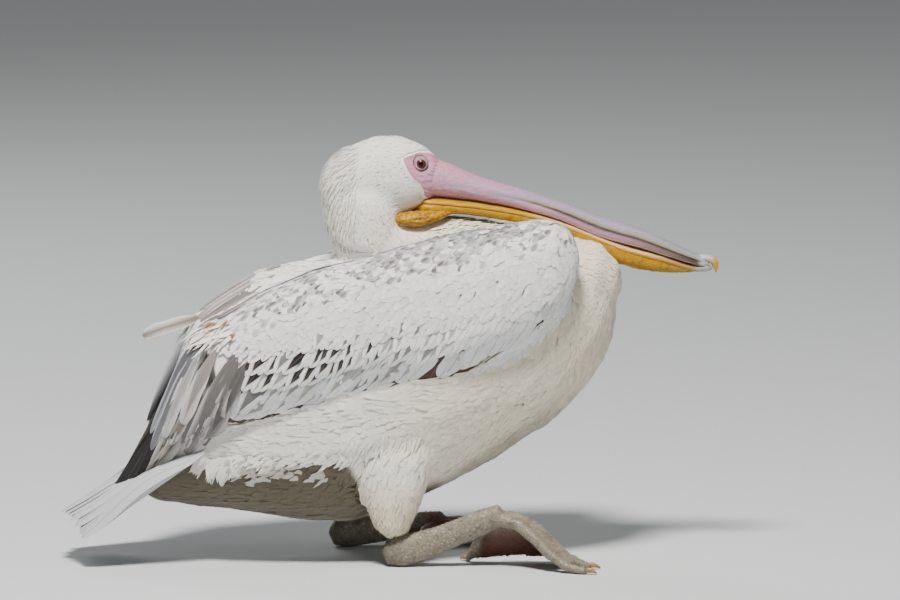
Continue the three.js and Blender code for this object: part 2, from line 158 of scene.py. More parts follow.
def inside(x, z, outline):
    """How far points lie inside an outline in the side view: millimetres, negative outside."""
    away = np.full(x.shape, 1e9)
    within = np.zeros(x.shape, bool)
    for (ax, az), (bx, bz) in zip(outline, outline[1:] + outline[:1]):
        share = np.clip(((x - ax) * (bx - ax) + (z - az) * (bz - az))
                        / ((bx - ax) ** 2 + (bz - az) ** 2), 0, 1)
        away = np.minimum(away, np.hypot(x - ax - share * (bx - ax), z - az - share * (bz - az)))
        crosses = (az > z) != (bz > z)
        cut = ax + (z - az) * (bx - ax) / (bz - az if bz != az else 1e-9)
        within ^= crosses & (x < cut)
    return np.where(within, away, -away)


def linear(code):
    """A hex colour as linear light."""
    parts = [int(code[i:i + 2], 16) / 255 for i in (1, 3, 5)]
    return np.array([p / 12.92 if p <= 0.04045 else ((p + 0.055) / 1.055) ** 2.4 for p in parts])


def blend(one, other, share):
    return one + (other - one) * share[..., None]


# Colours of the plumage and of the bare skin, the same for skin and feathers.
WHITE = linear("#efece2")
CREAM = linear("#e9dec3")
# Dark olive under the belly: partly a real stain, partly painted shade.
BELLY_STAIN_AND_SHADE = linear("#43350c")
WING_WHITE = linear("#e9e8e6")
SPECKLE = linear("#3a312b")
FACE_PINK = linear("#c48b9e")
FACE_VIOLET = linear("#ad87a3")
FACE_DEEP = linear("#9c6377")
LEG_GREY = linear("#847c6a")
LEG_DARK = linear("#564f44")
WEB_RED_AND_SHADE = linear("#5a2a1d")


def plumage_tint(p):
    """The plumage's colour at points in millimetres: white above, cream on neck and breast,
    stained olive and darkened with painted shade under the belly."""
    x, z = p[..., 0], p[..., 2]
    cream = ramp(x, -60, 120) * ramp(z, 470, 400)
    tint = blend(WHITE, CREAM, cream * 0.85)
    top = 152 + 0.03 * x - 46 * ramp(x, -66, -34)
    rear = ramp(z, top, top - 22) * ramp(x, 90, 50)
    slope = 0.72 * (x - 73)
    front = 0.5 * ramp(z, 122 + slope, 98 + slope) * ramp(x, 30, 90) * ramp(x, 230, 180)
    # Under the belly and along the breast's lower edge: olive stain and painted shade.
    under = np.maximum(rear, front) * ramp(z, 20, 60)
    return blend(tint, BELLY_STAIN_AND_SHADE, under * 0.92)


def patches(p, grain, seed=0.0):
    """Soft irregular noise from about -1 to 1 at points in millimetres; grain is its size."""
    scaled = p / np.broadcast_to(grain, (3,)) + seed
    return np.array([noise.noise(Vector(q)) for q in scaled]) * 1.6


def ridge_at(value, middle, width):
    """A smooth rise to 1 at the middle."""
    return np.exp(-((value - middle) / width) ** 2)


def skin_tint(p):
    """The plumage's colours, and pink to violet on the bare face, paler round the eye, with painted shade in the crease
    round it.
    """
    x, z = p[:, 0], p[:, 2]
    bare = ramp(inside(x, z, FACE), -0.5, 1.0) * ramp(z, 415, 425)
    face = blend(FACE_PINK, FACE_VIOLET, ridge_at(np.hypot((x - 54) / 1.4, z - 474), 0, 11))
    off_eye = np.hypot(x - EYE_AT[0], z - EYE_AT[1])
    # A deeper ring at the crease round the eye: painted shade.
    face = blend(face, FACE_DEEP, 0.75 * ridge_at(off_eye, 8.6, 0.9) + 0.35 * ramp(inside(x, z, FACE), 6, 0))
    return blend(plumage_tint(p), face, bare)


def leg_tint(p):
    """Grey-beige legs, darker at the heels, and dark red-brown on the webs' undersides, partly their own colour and
    partly painted shade.
    """
    x, y, z = p.T
    tint = blend(LEG_GREY, LEG_DARK, 0.45 * ramp(patches(p, 9.0), -0.2, 0.9))
    from_heel = x + np.where(y > 0, STRIDE, 0)
    tint = blend(tint, LEG_DARK, 0.5 * ramp(from_heel, 14, -12))
    # The webs' undersides, dark red-brown: their reddish skin darkened with painted shade.
    shaded_web = ramp(from_heel, 98, 112) * ramp(np.abs(y), 101, 90) * ramp(z, 50, 30)
    return blend(tint, WEB_RED_AND_SHADE, 0.9 * shaded_web)


def face_relief(p):
    """Height of the lids, of the crease round them and of soft folds, in millimetres."""
    x, z = p[:, 0], p[:, 2]
    bare = ramp(inside(x, z, FACE), 0.0, 3.0) * ramp(z, 415, 430)
    off_eye = np.hypot(x - EYE_AT[0], z - EYE_AT[1])
    rings = (0.3 * ridge_at(off_eye, 6.8, 1.2) - 0.7 * ridge_at(off_eye, 8.7, 0.8)
             + 0.35 * ridge_at(off_eye, 10.6, 1.0))
    turned = np.stack([0.9 * x - 0.42 * z, p[:, 1], 0.42 * x + 0.9 * z], 1)
    folds = 0.55 * patches(turned, (9.0, 9.0, 2.6)) + 0.3 * patches(turned, (4.0, 4.0, 1.5), 7.0)
    return bare * (rings + folds * ramp(off_eye, 8, 13))


def coat_depth(p):
    """Depth of the feathers over the skin, in millimetres: thin on the head, none on the face."""
    x, z = p[:, 0], p[:, 2]
    on_head = ramp(np.hypot(x, z - 466), 112, 88) * ramp(z, 405, 430)
    bare = ramp(inside(x, z, FACE), -3.0, 0.5) * on_head
    return (BODY_COAT + (HEAD_COAT - BODY_COAT) * on_head) * (1 - 0.85 * bare)


def set_tint(mesh, colours):
    layer = mesh.color_attributes.new("tint", "FLOAT_COLOR", "POINT")
    rgba = np.ones((len(colours), 4))
    rgba[:, :3] = colours
    layer.data.foreach_set("color", rgba.ravel())


def nodes_of(name, roughness, **sockets):
    """A new material's node tree and its shader, with even values set on the shader itself."""
    material = bpy.data.materials.new(name)
    material.use_nodes = True
    tree = material.node_tree
    shader = tree.nodes["Principled BSDF"]
    shader.inputs["Roughness"].default_value = roughness
    for socket, value in sockets.items():
        shader.inputs[socket.replace("_", " ")].default_value = value
    return material, tree, shader


def add(tree, kind, links=(), out=(), **settings):
    """Adds a node with its settings, links into it and links out of it."""
    node = tree.nodes.new(kind)
    for key, value in settings.items():
        if key in node.inputs.keys() or key.isdigit():
            node.inputs[int(key) if key.isdigit() else key].default_value = value
        else:
            setattr(node, key, value)
    for socket, source in dict(links).items():
        tree.links.new(source, node.inputs[socket])
    for source, target in out:
        tree.links.new(node.outputs[source], target)
    return node


def grained(tree, shader, shading, shades, height=None, strength=0.35, distance=0.0005):
    """Colours the shader with the mesh's tint times a texture's shades, and raises a fine relief:
    the texture given as height, or the shades themselves."""
    colour = add(tree, "ShaderNodeVertexColor", layer_name="tint")
    shade = add(tree, "ShaderNodeMapRange", {"Value": shading},
                **{str(i + 1): value for i, value in enumerate(shades)})
    add(tree, "ShaderNodeVectorMath", {0: colour.outputs["Color"], 1: shade.outputs["Result"]},
        [("Vector", shader.inputs["Base Color"])], operation="MULTIPLY")
    add(tree, "ShaderNodeBump", {"Height": height or shade.outputs["Result"]},
        [("Normal", shader.inputs["Normal"])], Strength=strength, Distance=distance)


plumage_form = grown_together(merged(SKIN_NODES), SKIN_GRAIN)
ease(plumage_form, SKIN_EASING)
form_points = places(plumage_form)
plumage_surface = surface_of(plumage_form)

skin_bm = bmesh.new()
skin_bm.from_mesh(plumage_form)
near_face = inside(*form_points[:, (0, 2)].T / MM, FACE) > -4
near_face &= (form_points[:, 2] > 0.425) & (form_points[:, 0] > 0.008)
bmesh.ops.subdivide_edges(skin_bm, edges=[e for e in skin_bm.edges if all(near_face[v.index] for v in e.verts)],
                          cuts=FACE_CUTS, use_grid_fill=True)
skin_mesh = bpy.data.meshes.new("skin")
skin_bm.to_mesh(skin_mesh)
body_points = places(skin_mesh)
body_normals = normals(skin_mesh)
lift = face_relief(body_points / MM) - coat_depth(body_points / MM)
lift -= 2.4 * ramp(body_points[:, 0] / MM, 46, 60) * ramp(body_points[:, 2] / MM, 430, 445)
move_to(skin_mesh, body_points + body_normals * (lift * MM)[:, None])

leg_mesh = grown_together(merged(LEG_NODES), LEG_GRAIN)
ease(leg_mesh, LEG_EASING)
leg_points = places(leg_mesh)
wrinkles = 0.35 * patches(leg_points / MM, (5.0, 5.0, 2.2)) * ramp(leg_points[:, 2] / MM, 2, 7)
leg_points += normals(leg_mesh) * (wrinkles * MM)[:, None]
leg_points[:, 2] = np.maximum(leg_points[:, 2], 0)
move_to(leg_mesh, leg_points)
body_faces = len(skin_mesh.polygons)
skin_bm = bmesh.new()
skin_bm.from_mesh(skin_mesh)
skin_bm.from_mesh(leg_mesh)
skin_bm.to_mesh(skin_mesh)
skin_bm.free()
set_tint(skin_mesh, np.concatenate([skin_tint(body_points / MM), leg_tint(leg_points / MM)]))

# Skin: soft and matt. The bare face is finely wrinkled, about a millimetre from fold to fold.
skin_material, tree, shader = nodes_of("bare skin", 0.5, Specular_IOR_Level=0.35)
where = add(tree, "ShaderNodeTexCoord").outputs["Object"]
wrinkle = add(tree, "ShaderNodeTexVoronoi", {"Vector": where}, Scale=700.0)
mottle = add(tree, "ShaderNodeTexNoise", {"Vector": where}, Scale=120.0, Detail=3.0)
grained(tree, shader, mottle.outputs["Fac"], (0.0, 1.0, 0.86, 1.1), wrinkle.outputs["Distance"],
        distance=0.0004)

# Leg skin: leathery net of small scales, darker in the lines between them.
leg_material, tree, shader = nodes_of("scaly leg skin", 0.42, Specular_IOR_Level=0.5)
where = add(tree, "ShaderNodeTexCoord").outputs["Object"]
net = add(tree, "ShaderNodeTexVoronoi", {"Vector": where}, feature="DISTANCE_TO_EDGE", Scale=420.0)
grained(tree, shader, net.outputs["Distance"], (0.02, 0.16, 0.55, 1.05), strength=0.6)

skin = shown("skin", skin_mesh, skin_material, leg_material)
which = np.zeros(len(skin_mesh.polygons), np.int32)
which[body_faces:] = 1
skin_mesh.polygons.foreach_set("material_index", which)
bpy.context.view_layer.objects.active = skin
skin.select_set(True)
bpy.ops.object.mode_set(mode="EDIT")
bpy.ops.mesh.select_all(action="SELECT")
skin_mesh.uv_layers.new(name="OFBake")
bpy.ops.uv.smart_project(angle_limit=math.radians(60), island_margin=0.001)
bpy.ops.object.mode_set(mode="OBJECT")
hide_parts(*SKIN_NODES, *LEG_NODES)
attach(skin, "root")

# ---------------------------------------------------------------- eyes
# Two red-brown eyes with round black pupils, set deep in the bare face. The clear cornea bulges
# over the iris. The rim of the lids is a soft ring of skin that closes on the ball.
EYE_RADIUS = 9.5 * MM
IRIS = 5.6 * MM
PUPIL = 2.3 * MM
CORNEA = 0.7 * MM  # how far the cornea bulges
EYE_OUT = 24.5 * MM  # the ball's middle from the midline
SKIN_RING = 9  # radius at which the lids meet the face, in millimetres
# Section through the lids' rim: distance from the eye's middle, and height.
LID = [(5.0, -1.2), (5.2, -0.1), (5.5, 0.35), (6.0, 0.45), (6.5, 0.25), (7.0, -0.1), (7.6, -0.7), (6.4, -1.6)]


def set_stops(node, stops):
    """Sets a colour ramp's places and colours."""
    elements = node.color_ramp.elements
    for position, _ in stops[2:]:
        elements.new(position)
    for element, (position, code) in zip(elements, stops):
        element.position = position
        element.color = (*linear(code), 1)


def rolled(rings, sides):
    """A sheet to be rolled into a tube, with its bake map, and each point's shares of the sheet."""
    bm = bmesh.new()
    layer = bm.loops.layers.uv.new("OFBake")
    bmesh.ops.create_grid(bm, x_segments=rings, y_segments=sides, size=1)
    bm.verts.index_update()
    grid = np.array([v.co for v in bm.verts]) * 0.5 + 0.5
    for face in bm.faces:
        for loop in face.loops:
            loop[layer].uv = grid[loop.vert.index][:2]
    return bm, grid


# Eye: wet and glossy, a black pupil in a red-brown iris with a darker rim, pinkish white beyond.
eye_material, tree, shader = nodes_of("wet eye", 0.3, Coat_Weight=0.4, Coat_Roughness=0.02, IOR=1.34,
                                     Specular_IOR_Level=0.2)
where = add(tree, "ShaderNodeTexCoord").outputs["Object"]
flat = add(tree, "ShaderNodeVectorMath", {0: where}, operation="MULTIPLY", **{"1": (1, 0, 1)})
off = add(tree, "ShaderNodeVectorMath", {0: flat.outputs["Vector"]}, operation="DISTANCE",
          **{"1": (EYE_AT[0] * MM, 0, EYE_AT[1] * MM)})
share = add(tree, "ShaderNodeMapRange", {"Value": off.outputs["Value"]}, **{"1": 0.0, "2": EYE_RADIUS})
rings = add(tree, "ShaderNodeValToRGB", {"Fac": share.outputs["Result"]},
            [("Color", shader.inputs["Base Color"])])
set_stops(rings, [(PUPIL / EYE_RADIUS, "#020101"), (PUPIL / EYE_RADIUS + 0.03, "#35160e"), (0.42, "#562819"),
                  (IRIS / EYE_RADIUS - 0.08, "#45200f"), (IRIS / EYE_RADIUS - 0.02, "#1d0d09"),
                  (0.66, "#a08486")])

for side_name, sign in (("right", -1), ("left", 1)):
    bm = bmesh.new()
    bm.loops.layers.uv.new("OFBake")
    bmesh.ops.create_uvsphere(bm, u_segments=48, v_segments=36, radius=EYE_RADIUS, calc_uvs=True)
    for vert in bm.verts:
        off_axis = math.hypot(vert.co.x, vert.co.y)
        if vert.co.z > 0 and off_axis < IRIS:
            vert.co.z += CORNEA * (1 - (off_axis / IRIS) ** 2)
    bmesh.ops.rotate(bm, verts=bm.verts, matrix=Matrix.Rotation(-sign * math.pi / 2, 3, "X"))
    bmesh.ops.translate(bm, verts=bm.verts, vec=(EYE_AT[0] * MM, sign * EYE_OUT, EYE_AT[1] * MM))
    eye = shown("eye_ball_" + side_name, bm, eye_material)
    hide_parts("eye_" + side_name)
    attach(eye, "root")

    bm, grid = rolled(len(LID), 40)
    ball_out = EYE_OUT / MM + math.sqrt((EYE_RADIUS / MM) ** 2 - LID[1][0] ** 2)
    for vert, (round_lid, turn, _) in zip(bm.verts, grid):
        radius, height = LID[round(round_lid * len(LID)) % len(LID)]
        angle = 2 * math.pi * turn
        skin_out = plumage_surface.ray_cast(
            ((EYE_AT[0] + SKIN_RING * math.cos(angle)) * MM, sign * 0.2,
             (EYE_AT[1] + SKIN_RING * math.sin(angle)) * MM), (0, -sign, 0))[0].y * sign / MM
        level = ball_out + (skin_out + 0.4 - ball_out) * (radius - LID[1][0]) / (LID[-2][0] - LID[1][0])
        vert.co = ((EYE_AT[0] + radius * math.cos(angle)) * MM, sign * (level + height) * MM,
                   (EYE_AT[1] + radius * 0.96 * math.sin(angle)) * MM)
    bmesh.ops.remove_doubles(bm, verts=bm.verts, dist=1e-7)
    bmesh.ops.recalc_face_normals(bm, faces=bm.faces)
    lids = shown("eyelids_" + side_name, bm, skin_material)
    set_tint(lids.data, np.tile(linear("#bb8c9c"), (len(lids.data.vertices), 1)))
    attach(lids, "root")

# ---------------------------------------------------------------- bill
# The upper half of the bill: horny plates over bone, with a rounded ridge down its middle, a
# narrow groove along each side and a flat plate out to the cutting edge. The pink skin of the
# face runs out over its base, wrinkled and streaked with blue-grey.
BILL_UPPER = [(34, 0, 464, 18, 20, 18), (46, 0, 463, 27.5, 26, 21), (57, 0, 461.5, 27, 25, 20),
              (70, 0, 458.5, 25.4, 22.6, 18.4),
              (109, 0, 449, 22, 16, 14), (158, 0, 437, 19.5, 13.5, 11), (207, 0, 422, 18.5, 11.5, 10),
              (256, 0, 402, 19.5, 13, 11), (305, 0, 387, 20, 12.5, 10), (345, 0, 372, 18, 9, 8),
              (374, 0, 361, 12, 7, 6), (390, 0, 357, 6, 5, 5)]


def through(stations, share):
    """Smooth values through a table's rows at shares of its length."""
    table = np.array(stations, float)
    last = len(table) - 1
    place = np.clip(share * last, 0, last - 1e-9)
    low = place.astype(int)
    f = (place - low)[:, None]
    a, b, c, d = (table[np.clip(low + k, 0, last)] for k in (-1, 0, 1, 2))
    bend = 2 * a - 5 * b + 4 * c - d + (3 * (b - c) + d - a) * f
    return b + 0.5 * f * (c - a + bend * f)


def drawn_out(name, stations, rings, sides, material, relief, tint, power=lambda turn, x: 1.0):
    """A closed form drawn out along stations [x, y, z, half width, above, below]. turn is the
    angle from the top edge, 0 to 180 degrees, the same on both sides."""
    bm, grid = rolled(rings, sides)
    share, angle = grid[:, 0], 2 * np.pi * grid[:, 1]
    rows = through(stations, share)
    along = through(stations, share + 1e-3)[:, :3] - through(stations, share - 1e-3)[:, :3]
    along /= np.linalg.norm(along, axis=1, keepdims=True)
    across = np.array([0, 1, 0]) - along * along[:, 1:2]
    across /= np.linalg.norm(across, axis=1, keepdims=True)
    up = np.cross(along, across)
    up *= np.sign(up[:, 2:3])
    to_end = np.minimum(share, 1 - share) * (len(stations) - 1)
    cap = np.sqrt(1 - (1 - np.minimum(to_end, 1)) ** 2)
    turn = np.degrees(np.minimum(angle, 2 * np.pi - angle))
    c, s = np.cos(angle), np.sin(angle)
    shape = power(turn, rows[:, 0])
    wide = np.sign(s) * np.abs(s) ** shape * rows[:, 3] * cap
    tall = np.sign(c) * np.abs(c) ** shape * np.where(c > 0, rows[:, 4], rows[:, 5]) * cap
    centre = rows[:, :3]
    surface = centre + across * wide[:, None] + up * tall[:, None]
    outward = across * s[:, None] + up * c[:, None]
    surface = surface + outward * (relief(surface, turn) * cap)[:, None]
    for vert, point in zip(bm.verts, surface * MM):
        vert.co = point
    colours = tint(surface, turn)
    paint = bm.verts.layers.float_color.new("tint")
    for vert, colour in zip(bm.verts, colours):
        vert[paint] = (*colour, 1)
    bmesh.ops.remove_doubles(bm, verts=bm.verts, dist=1e-6)
    bmesh.ops.recalc_face_normals(bm, faces=bm.faces)
    piece = shown(name, bm, material)
    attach(piece, "root")
    return piece


def bill_power(turn, x):
    """Rounded above, boxed below towards the tip."""
    return 0.95 - 0.35 * ramp(turn, 80, 110) * ramp(x, 90, 190)


def bill_relief(p, turn):
    """Groove, trough and lip along the bill's far part, and the soft streaks of its base."""
    x = p[:, 0]
    far = ramp(x, 120, 190)
    groove = -2.6 * ridge_at(turn, 86, 8) * far * ramp(x, 386, 372)
    trough = -0.8 * ridge_at(turn, 56, 15) * far
    lip = 0.5 * ridge_at(turn, 122, 9) * far
    base = ramp(x, 175, 90)
    streaks = 0.5 * patches(p, (16.0, 3.0, 2.6)) + 0.35 * patches(p, (5.0, 2.2, 1.6), 5.0)
    worn = 0.18 * patches(p, (14.0, 3.0, 3.0), 9.0)
    return groove + trough + lip + base * streaks + (1 - base) * worn


def bill_tint(p, turn):
    """Pink at the base, streaked with blue-grey, then a lavender ridge over a darker plate, and the side groove painted
    dark as shade.
    """
    x = p[:, 0]
    ridge = blend(linear("#b98ba3"), linear("#9f90a8"), ramp(x, 100, 190))
    ridge = blend(ridge, linear("#92939b"), ramp(x, 250, 350))
    tint = blend(ridge, linear("#8f8a5c"), ridge_at(turn, 70, 11) * ramp(x, 130, 185) * 0.9)
    plate = blend(linear("#c08fa1"), linear("#a97f8f"), ramp(x, 150, 260))
    plate = blend(plate, linear("#7d625f"), ramp(x, 270, 335))
    plate = blend(plate, linear("#4c3b33"), ramp(x, 325, 372))
    tint = blend(tint, plate, ramp(turn, 84, 93))
    blue = ridge_at(turn, 84, 24) * ramp(x, 46, 64) * ramp(x, 190, 130)
    blue = blue * ramp(patches(p, (18.0, 5.0, 3.2), 3.0), -0.5, 0.5)
    tint = blend(tint, FACE_PINK, ramp(x, 105, 66))
    tint = blend(tint, linear("#8f96a8"), blue * 0.8)
    # The groove along each side painted near black: painted shade.
    tint = blend(tint, linear("#2f231a"), ridge_at(turn, 87, 7) * ramp(x, 175, 215) * 0.95)
    edge = ridge_at(turn, 128, 7) * ramp(x, 120, 190) * ramp(x, 380, 365)
    tint = blend(tint, linear("#e0c3a4"), edge * 0.9)
    stain = ramp(patches(p, (7.0, 3.0, 2.0), 11.0), 0.35, 0.7) * ridge_at(turn, 112, 12)
    tint = blend(tint, linear("#7d4136"), stain * ramp(x, 50, 62) * ramp(x, 92, 78) * 0.8)
    return blend(tint, linear("#aeafac"), ramp(x, 372, 380))


# Horn of the bill: hard and silky, with fine wear along its length.
bill_material, tree, shader = nodes_of("bill horn", 0.4, Specular_IOR_Level=0.5, Coat_Weight=0.12,
                                       Coat_Roughness=0.2, Subsurface_Weight=0.1, Subsurface_Scale=0.002)
where = add(tree, "ShaderNodeTexCoord").outputs["Object"]
drawn = add(tree, "ShaderNodeMapping", {"Vector": where}, **{"3": (60.0, 420.0, 520.0)})
wear = add(tree, "ShaderNodeTexNoise", {"Vector": drawn.outputs["Vector"]}, Scale=1.0, Detail=4.0)
grained(tree, shader, wear.outputs["Fac"], (0.25, 0.75, 0.82, 1.12), wear.outputs["Fac"], distance=0.0006)

upper_bill = drawn_out("upper_bill", BILL_UPPER, 190, 72, bill_material, bill_relief, bill_tint, bill_power)
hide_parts("bill_upper")

# The nail: a hook of hard horn on the bill's tip, a pale knob that turns to yellow where it
# bends down over the lower half.
NAIL = [(374, 0, 364, 4, 3, 3), (383, 0, 364, 7.5, 4, 4), (393, 0, 360, 7, 5.5, 4),
        (397, 0, 353.5, 5, 3.6, 4), (397.8, 0, 345, 1, 1, 1)]
nail = drawn_out("nail", NAIL, 40, 28, bill_material, lambda p, turn: 0.12 * patches(p, 3.0),
                 lambda p, turn: blend(linear("#b3b3af"), linear("#d59a1c"), ramp(p[:, 0] - 0.4 * p[:, 2], 245.5, 251)))
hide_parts("bill_nail")

# ---------------------------------------------------------------- lower bill and pouch
# The lower half of the bill is two thin bendy rods of bone under yellow skin, that meet in a
# pale knob at the tip. The pouch of stretchy yellow skin hangs between them. It is pleated
# against the neck, slack under the far half, and bulges out as a wrinkled lobe at each side.
BILL_LOWER = [(30, 0, 438, 12, 5, 5), (44, 0, 437, 25, 7.5, 5), (84, 0, 433, 23, 7.5, 4.5),
              (132, 0, 426, 20, 7, 4.5), (181, 0, 415, 18, 7, 4.5), (230, 0, 398, 18, 7, 4.5),
              (279, 0, 378, 19, 7, 4.5), (328, 0, 364, 18.5, 7, 4.5), (366, 0, 351.5, 12, 6, 4),
              (386, 0, 350.5, 7.5, 5, 3.5), (393, 0, 350.5, 2, 1.5, 1.5)]
POUCH = [(24, 0, 428, 12, 6, 8), (44, 0, 430, 27, 8, 8), (84, 0, 428, 23, 6, 7), (132, 0, 421, 20, 6, 7),
         (181, 0, 410, 18, 6, 7), (230, 0, 394, 18, 6, 7), (268, 0, 378, 18.5, 6, 15), (304, 0, 368, 18, 6, 17),
         (338, 0, 359, 16, 5, 13), (364, 0, 352, 11, 4, 6), (378, 0, 350, 4, 2, 2)]
LOBE = [(2, 24, 421, 4, 4, 4), (12, 27, 418, 12, 8, 8), (32, 28, 418, 14, 10, 9), (54, 23, 421, 12, 7, 6),
        (78, 16, 427, 4, 3, 3)]
YELLOW = linear("#bd8c00")
DEEP_YELLOW = linear("#744b00")
MOUTH_BROWN = linear("#5a2414")


def lower_tint(p, turn):
    """Yellow with a pale edge, deeper on top near the base as painted shade under the upper bill, and a grey tip."""
    x = p[:, 0]
    tint = blend(YELLOW, DEEP_YELLOW, 0.35 * ramp(patches(p, (20.0, 4.0, 3.0)), 0, 1))
    # Deeper yellow along the top near the base: painted shade under the upper bill.
    tint = blend(tint, DEEP_YELLOW, 0.6 * ramp(turn, 70, 25) * ramp(x, 170, 110))
    tint = blend(tint, linear("#e2bf9a"), ridge_at(turn, 62, 16) * ramp(x, 150, 220) * 0.9)
    tint = blend(tint, linear("#7a5a14"), 0.6 * ramp(x, 300, 350))
    return blend(tint, linear("#9a9890"), ramp(x, 368, 377))


def pouch_relief(p, turn):
    """Slanting folds where the pouch is slack, fine lengthwise ones where it lies close."""
    x, y, z = p.T
    slack = ramp(x, 225, 260) * ramp(x, 372, 350)
    fold = 0.5 * patches(np.stack([x + 0.9 * z, y, z], 1), (3.4, 12.0, 16.0))
    close = 0.35 * patches(p, (14.0, 2.5, 2.0))
    return slack * fold + (1 - slack) * close


def pouch_tint(p, turn):
    """Yellow, deeper below as painted shade and in soft patches, brown inside the mouth's corner."""
    x = p[:, 0]
    # Deeper yellow on the underside, more so where the pouch hangs slack: painted shade.
    tint = blend(YELLOW, DEEP_YELLOW, ramp(turn, 100, 165) * (0.25 + 0.6 * ramp(x, 240, 350)))
    tint = blend(tint, DEEP_YELLOW, 0.5 * ramp(patches(p, (5.0, 5.0, 5.0), 2.0), 0, 0.9))
    inner = ramp(p[:, 2] - 428 + 0.06 * (x - 44), -1, -6) * ramp(x, 48, 58) * ramp(x, 100, 88)
    return blend(tint, MOUTH_BROWN, inner * 0.85)


def lobe_relief(p, turn):
    """One deep crease and coarse wrinkles."""
    x, z = p[:, 0], p[:, 2]
    crease = -2.2 * ridge_at(z - 0.1 * (x - 30), 419, 1.1) * ramp(x, 20, 28) * ramp(x, 50, 42)
    return crease + 0.55 * patches(p, (3.6, 3.6, 2.4)) + 0.3 * patches(p, 1.7, 4.0)


# Pouch skin: soft and finely grained, with a slight shine.
pouch_material, tree, shader = nodes_of("pouch skin", 0.45, Specular_IOR_Level=0.3,
                                        Subsurface_Weight=0.15, Subsurface_Scale=0.002)
where = add(tree, "ShaderNodeTexCoord").outputs["Object"]
grain = add(tree, "ShaderNodeTexVoronoi", {"Vector": where}, Scale=850.0)
grained(tree, shader, grain.outputs["Distance"], (0.0, 0.8, 1.08, 0.72), strength=0.5)

lower_bill = drawn_out("lower_bill", BILL_LOWER, 150, 40, bill_material,
                       lambda p, turn: 0.25 * patches(p, (16.0, 3.0, 2.5)), lower_tint)
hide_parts("bill_lower")
pouch = drawn_out("pouch_skin", POUCH, 190, 56, pouch_material, pouch_relief, pouch_tint, lambda turn, x: 0.7)
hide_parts("pouch")
# Each lobe is deeper yellow in the hollows of its wrinkles: painted shade.
for side_name, sign in (("right", -1), ("left", 1)):
    lobe = drawn_out("pouch_lobe_" + side_name, [(x, sign * y, *rest) for x, y, *rest in LOBE], 76, 44,
                     pouch_material, lobe_relief,
                     lambda p, turn: blend(YELLOW, DEEP_YELLOW, 0.8 * ramp(patches(p, (3.6, 3.6, 2.4)), 0.15, -0.6)))

# ---------------------------------------------------------------- small feathers
# The contour feathers of head, neck, body and thighs: soft cream-white vanes a few millimetres
# to two centimetres long. They overlap like shingles and lie along the body, from bill to tail.
# Each one is a thin closed vane that grows on the skin and ends at the plumage's outline.
LIE = {  # x, z in the side view, and which way the feathers point there
    "head": [(75, 485, -1, 0.1), (40, 508, -1, 0), (0, 517, -1, -0.1), (-50, 495, -0.8, -0.6),
             (-80, 455, -0.45, -0.9), (-60, 430, -0.2, -1), (10, 470, -1, -0.15),
             (30, 445, -0.9, -0.45), (20, 425, -0.95, -0.2), (-30, 430, -0.3, -0.95)],
    "neck_upper": [(-60, 440, -0.1, -1), (-28, 400, 0.1, -1), (10, 410, 0.5, -0.8),
                   (0, 380, 0.5, -0.85), (60, 400, 1, -0.1), (150, 385, 1, -0.15),
                   (230, 365, 0.9, -0.4), (270, 345, 0.5, -0.85), (282, 325, 0, -1)],
    "neck_lower": [(275, 320, -0.1, -1), (255, 290, -0.45, -0.9), (220, 300, -0.3, -0.95),
                   (190, 230, -0.7, -0.72), (140, 220, -0.75, -0.65), (100, 200, -0.85, -0.5)],
    "trunk": [(150, 150, -0.85, -0.5), (60, 90, -1, -0.15), (0, 150, -0.85, -0.5),
              (-80, 100, -1, -0.1), (-100, 60, -1, 0.08), (-200, 90, -1, 0.2),
              (-180, 150, -0.95, -0.3), (-280, 110, -1, -0.25), (0, 370, -1, -0.1),
              (-120, 360, -0.9, -0.4), (-200, 320, -0.75, -0.65), (-250, 250, -0.5, -0.85)],
    "thigh": [(0, 140, -0.35, -0.95), (20, 90, -0.1, -1), (-20, 90, -0.2, -1),
              (-5, 50, -0.15, -1)],
    "wing": [(215, 380, -0.1, -1), (200, 330, -0.35, -0.93), (150, 410, -0.8, -0.6),
             (140, 340, -0.4, -0.92), (50, 390, -0.85, -0.5), (50, 320, -0.45, -0.9),
             (-60, 370, -0.85, -0.5), (-50, 300, -0.5, -0.86), (-150, 330, -0.8, -0.6),
             (-150, 270, -0.6, -0.8), (-210, 250, -0.6, -0.8)],
}
# Piece, solids it covers, a feather's length and half width in spacings, how far its tip stands
# off and how uneven that is, in millimetres.
TRACTS = [
    ("head_feathers", ["head"], 4.8, 0.62, 0.1, 0.12),
    ("neck_feathers", ["neck_upper", "neck_lower"], 4.8, 0.76, 0.35, 0.3),
    ("body_feathers", ["trunk"], 4.6, 0.9, 0.5, 0.42),
    ("thigh_feathers", ["thigh"], 4.8, 0.78, 0.5, 0.4),
    ("wing_lesser_coverts", ["wing"], 4.6, 0.92, 0.45, 0.3)]


def smoothly(table, p):
    """Values given at places in the side view, spread smoothly to points in between."""
    rows = np.array(table, float)
    away = (p[:, None, 0] - rows[:, 0]) ** 2 + (p[:, None, 2] - rows[:, 1]) ** 2
    weight = 1 / (away + 60) ** 1.5
    return weight @ rows[:, 2:] / weight.sum(1, keepdims=True)


def family(name):
    """Right and left wing, or thigh, count as one."""
    return name.rsplit("_", 1)[0] if name.startswith(("wing", "thigh")) else name


solids = {node_name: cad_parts[node_name].data for node_name in SKIN_NODES}
solids_surface = surface_of(*solids.values())
family_of_face = [family(node_name) for node_name, solid in solids.items() for _ in solid.polygons]


def nearest_family(points):
    """For each point, the family of the solid that it lies on."""
    return np.array([family_of_face[solids_surface.find_nearest(p)[2]] for p in points])


def lie_here(points, kinds):
    """Which way the feathers point at places in millimetres."""
    lie = np.zeros_like(points)
    for kind, table in LIE.items():
        some = kinds == kind
        lie[some, 0], lie[some, 2] = smoothly(table, points[some]).T
    return lie / np.linalg.norm(lie, axis=1, keepdims=True)


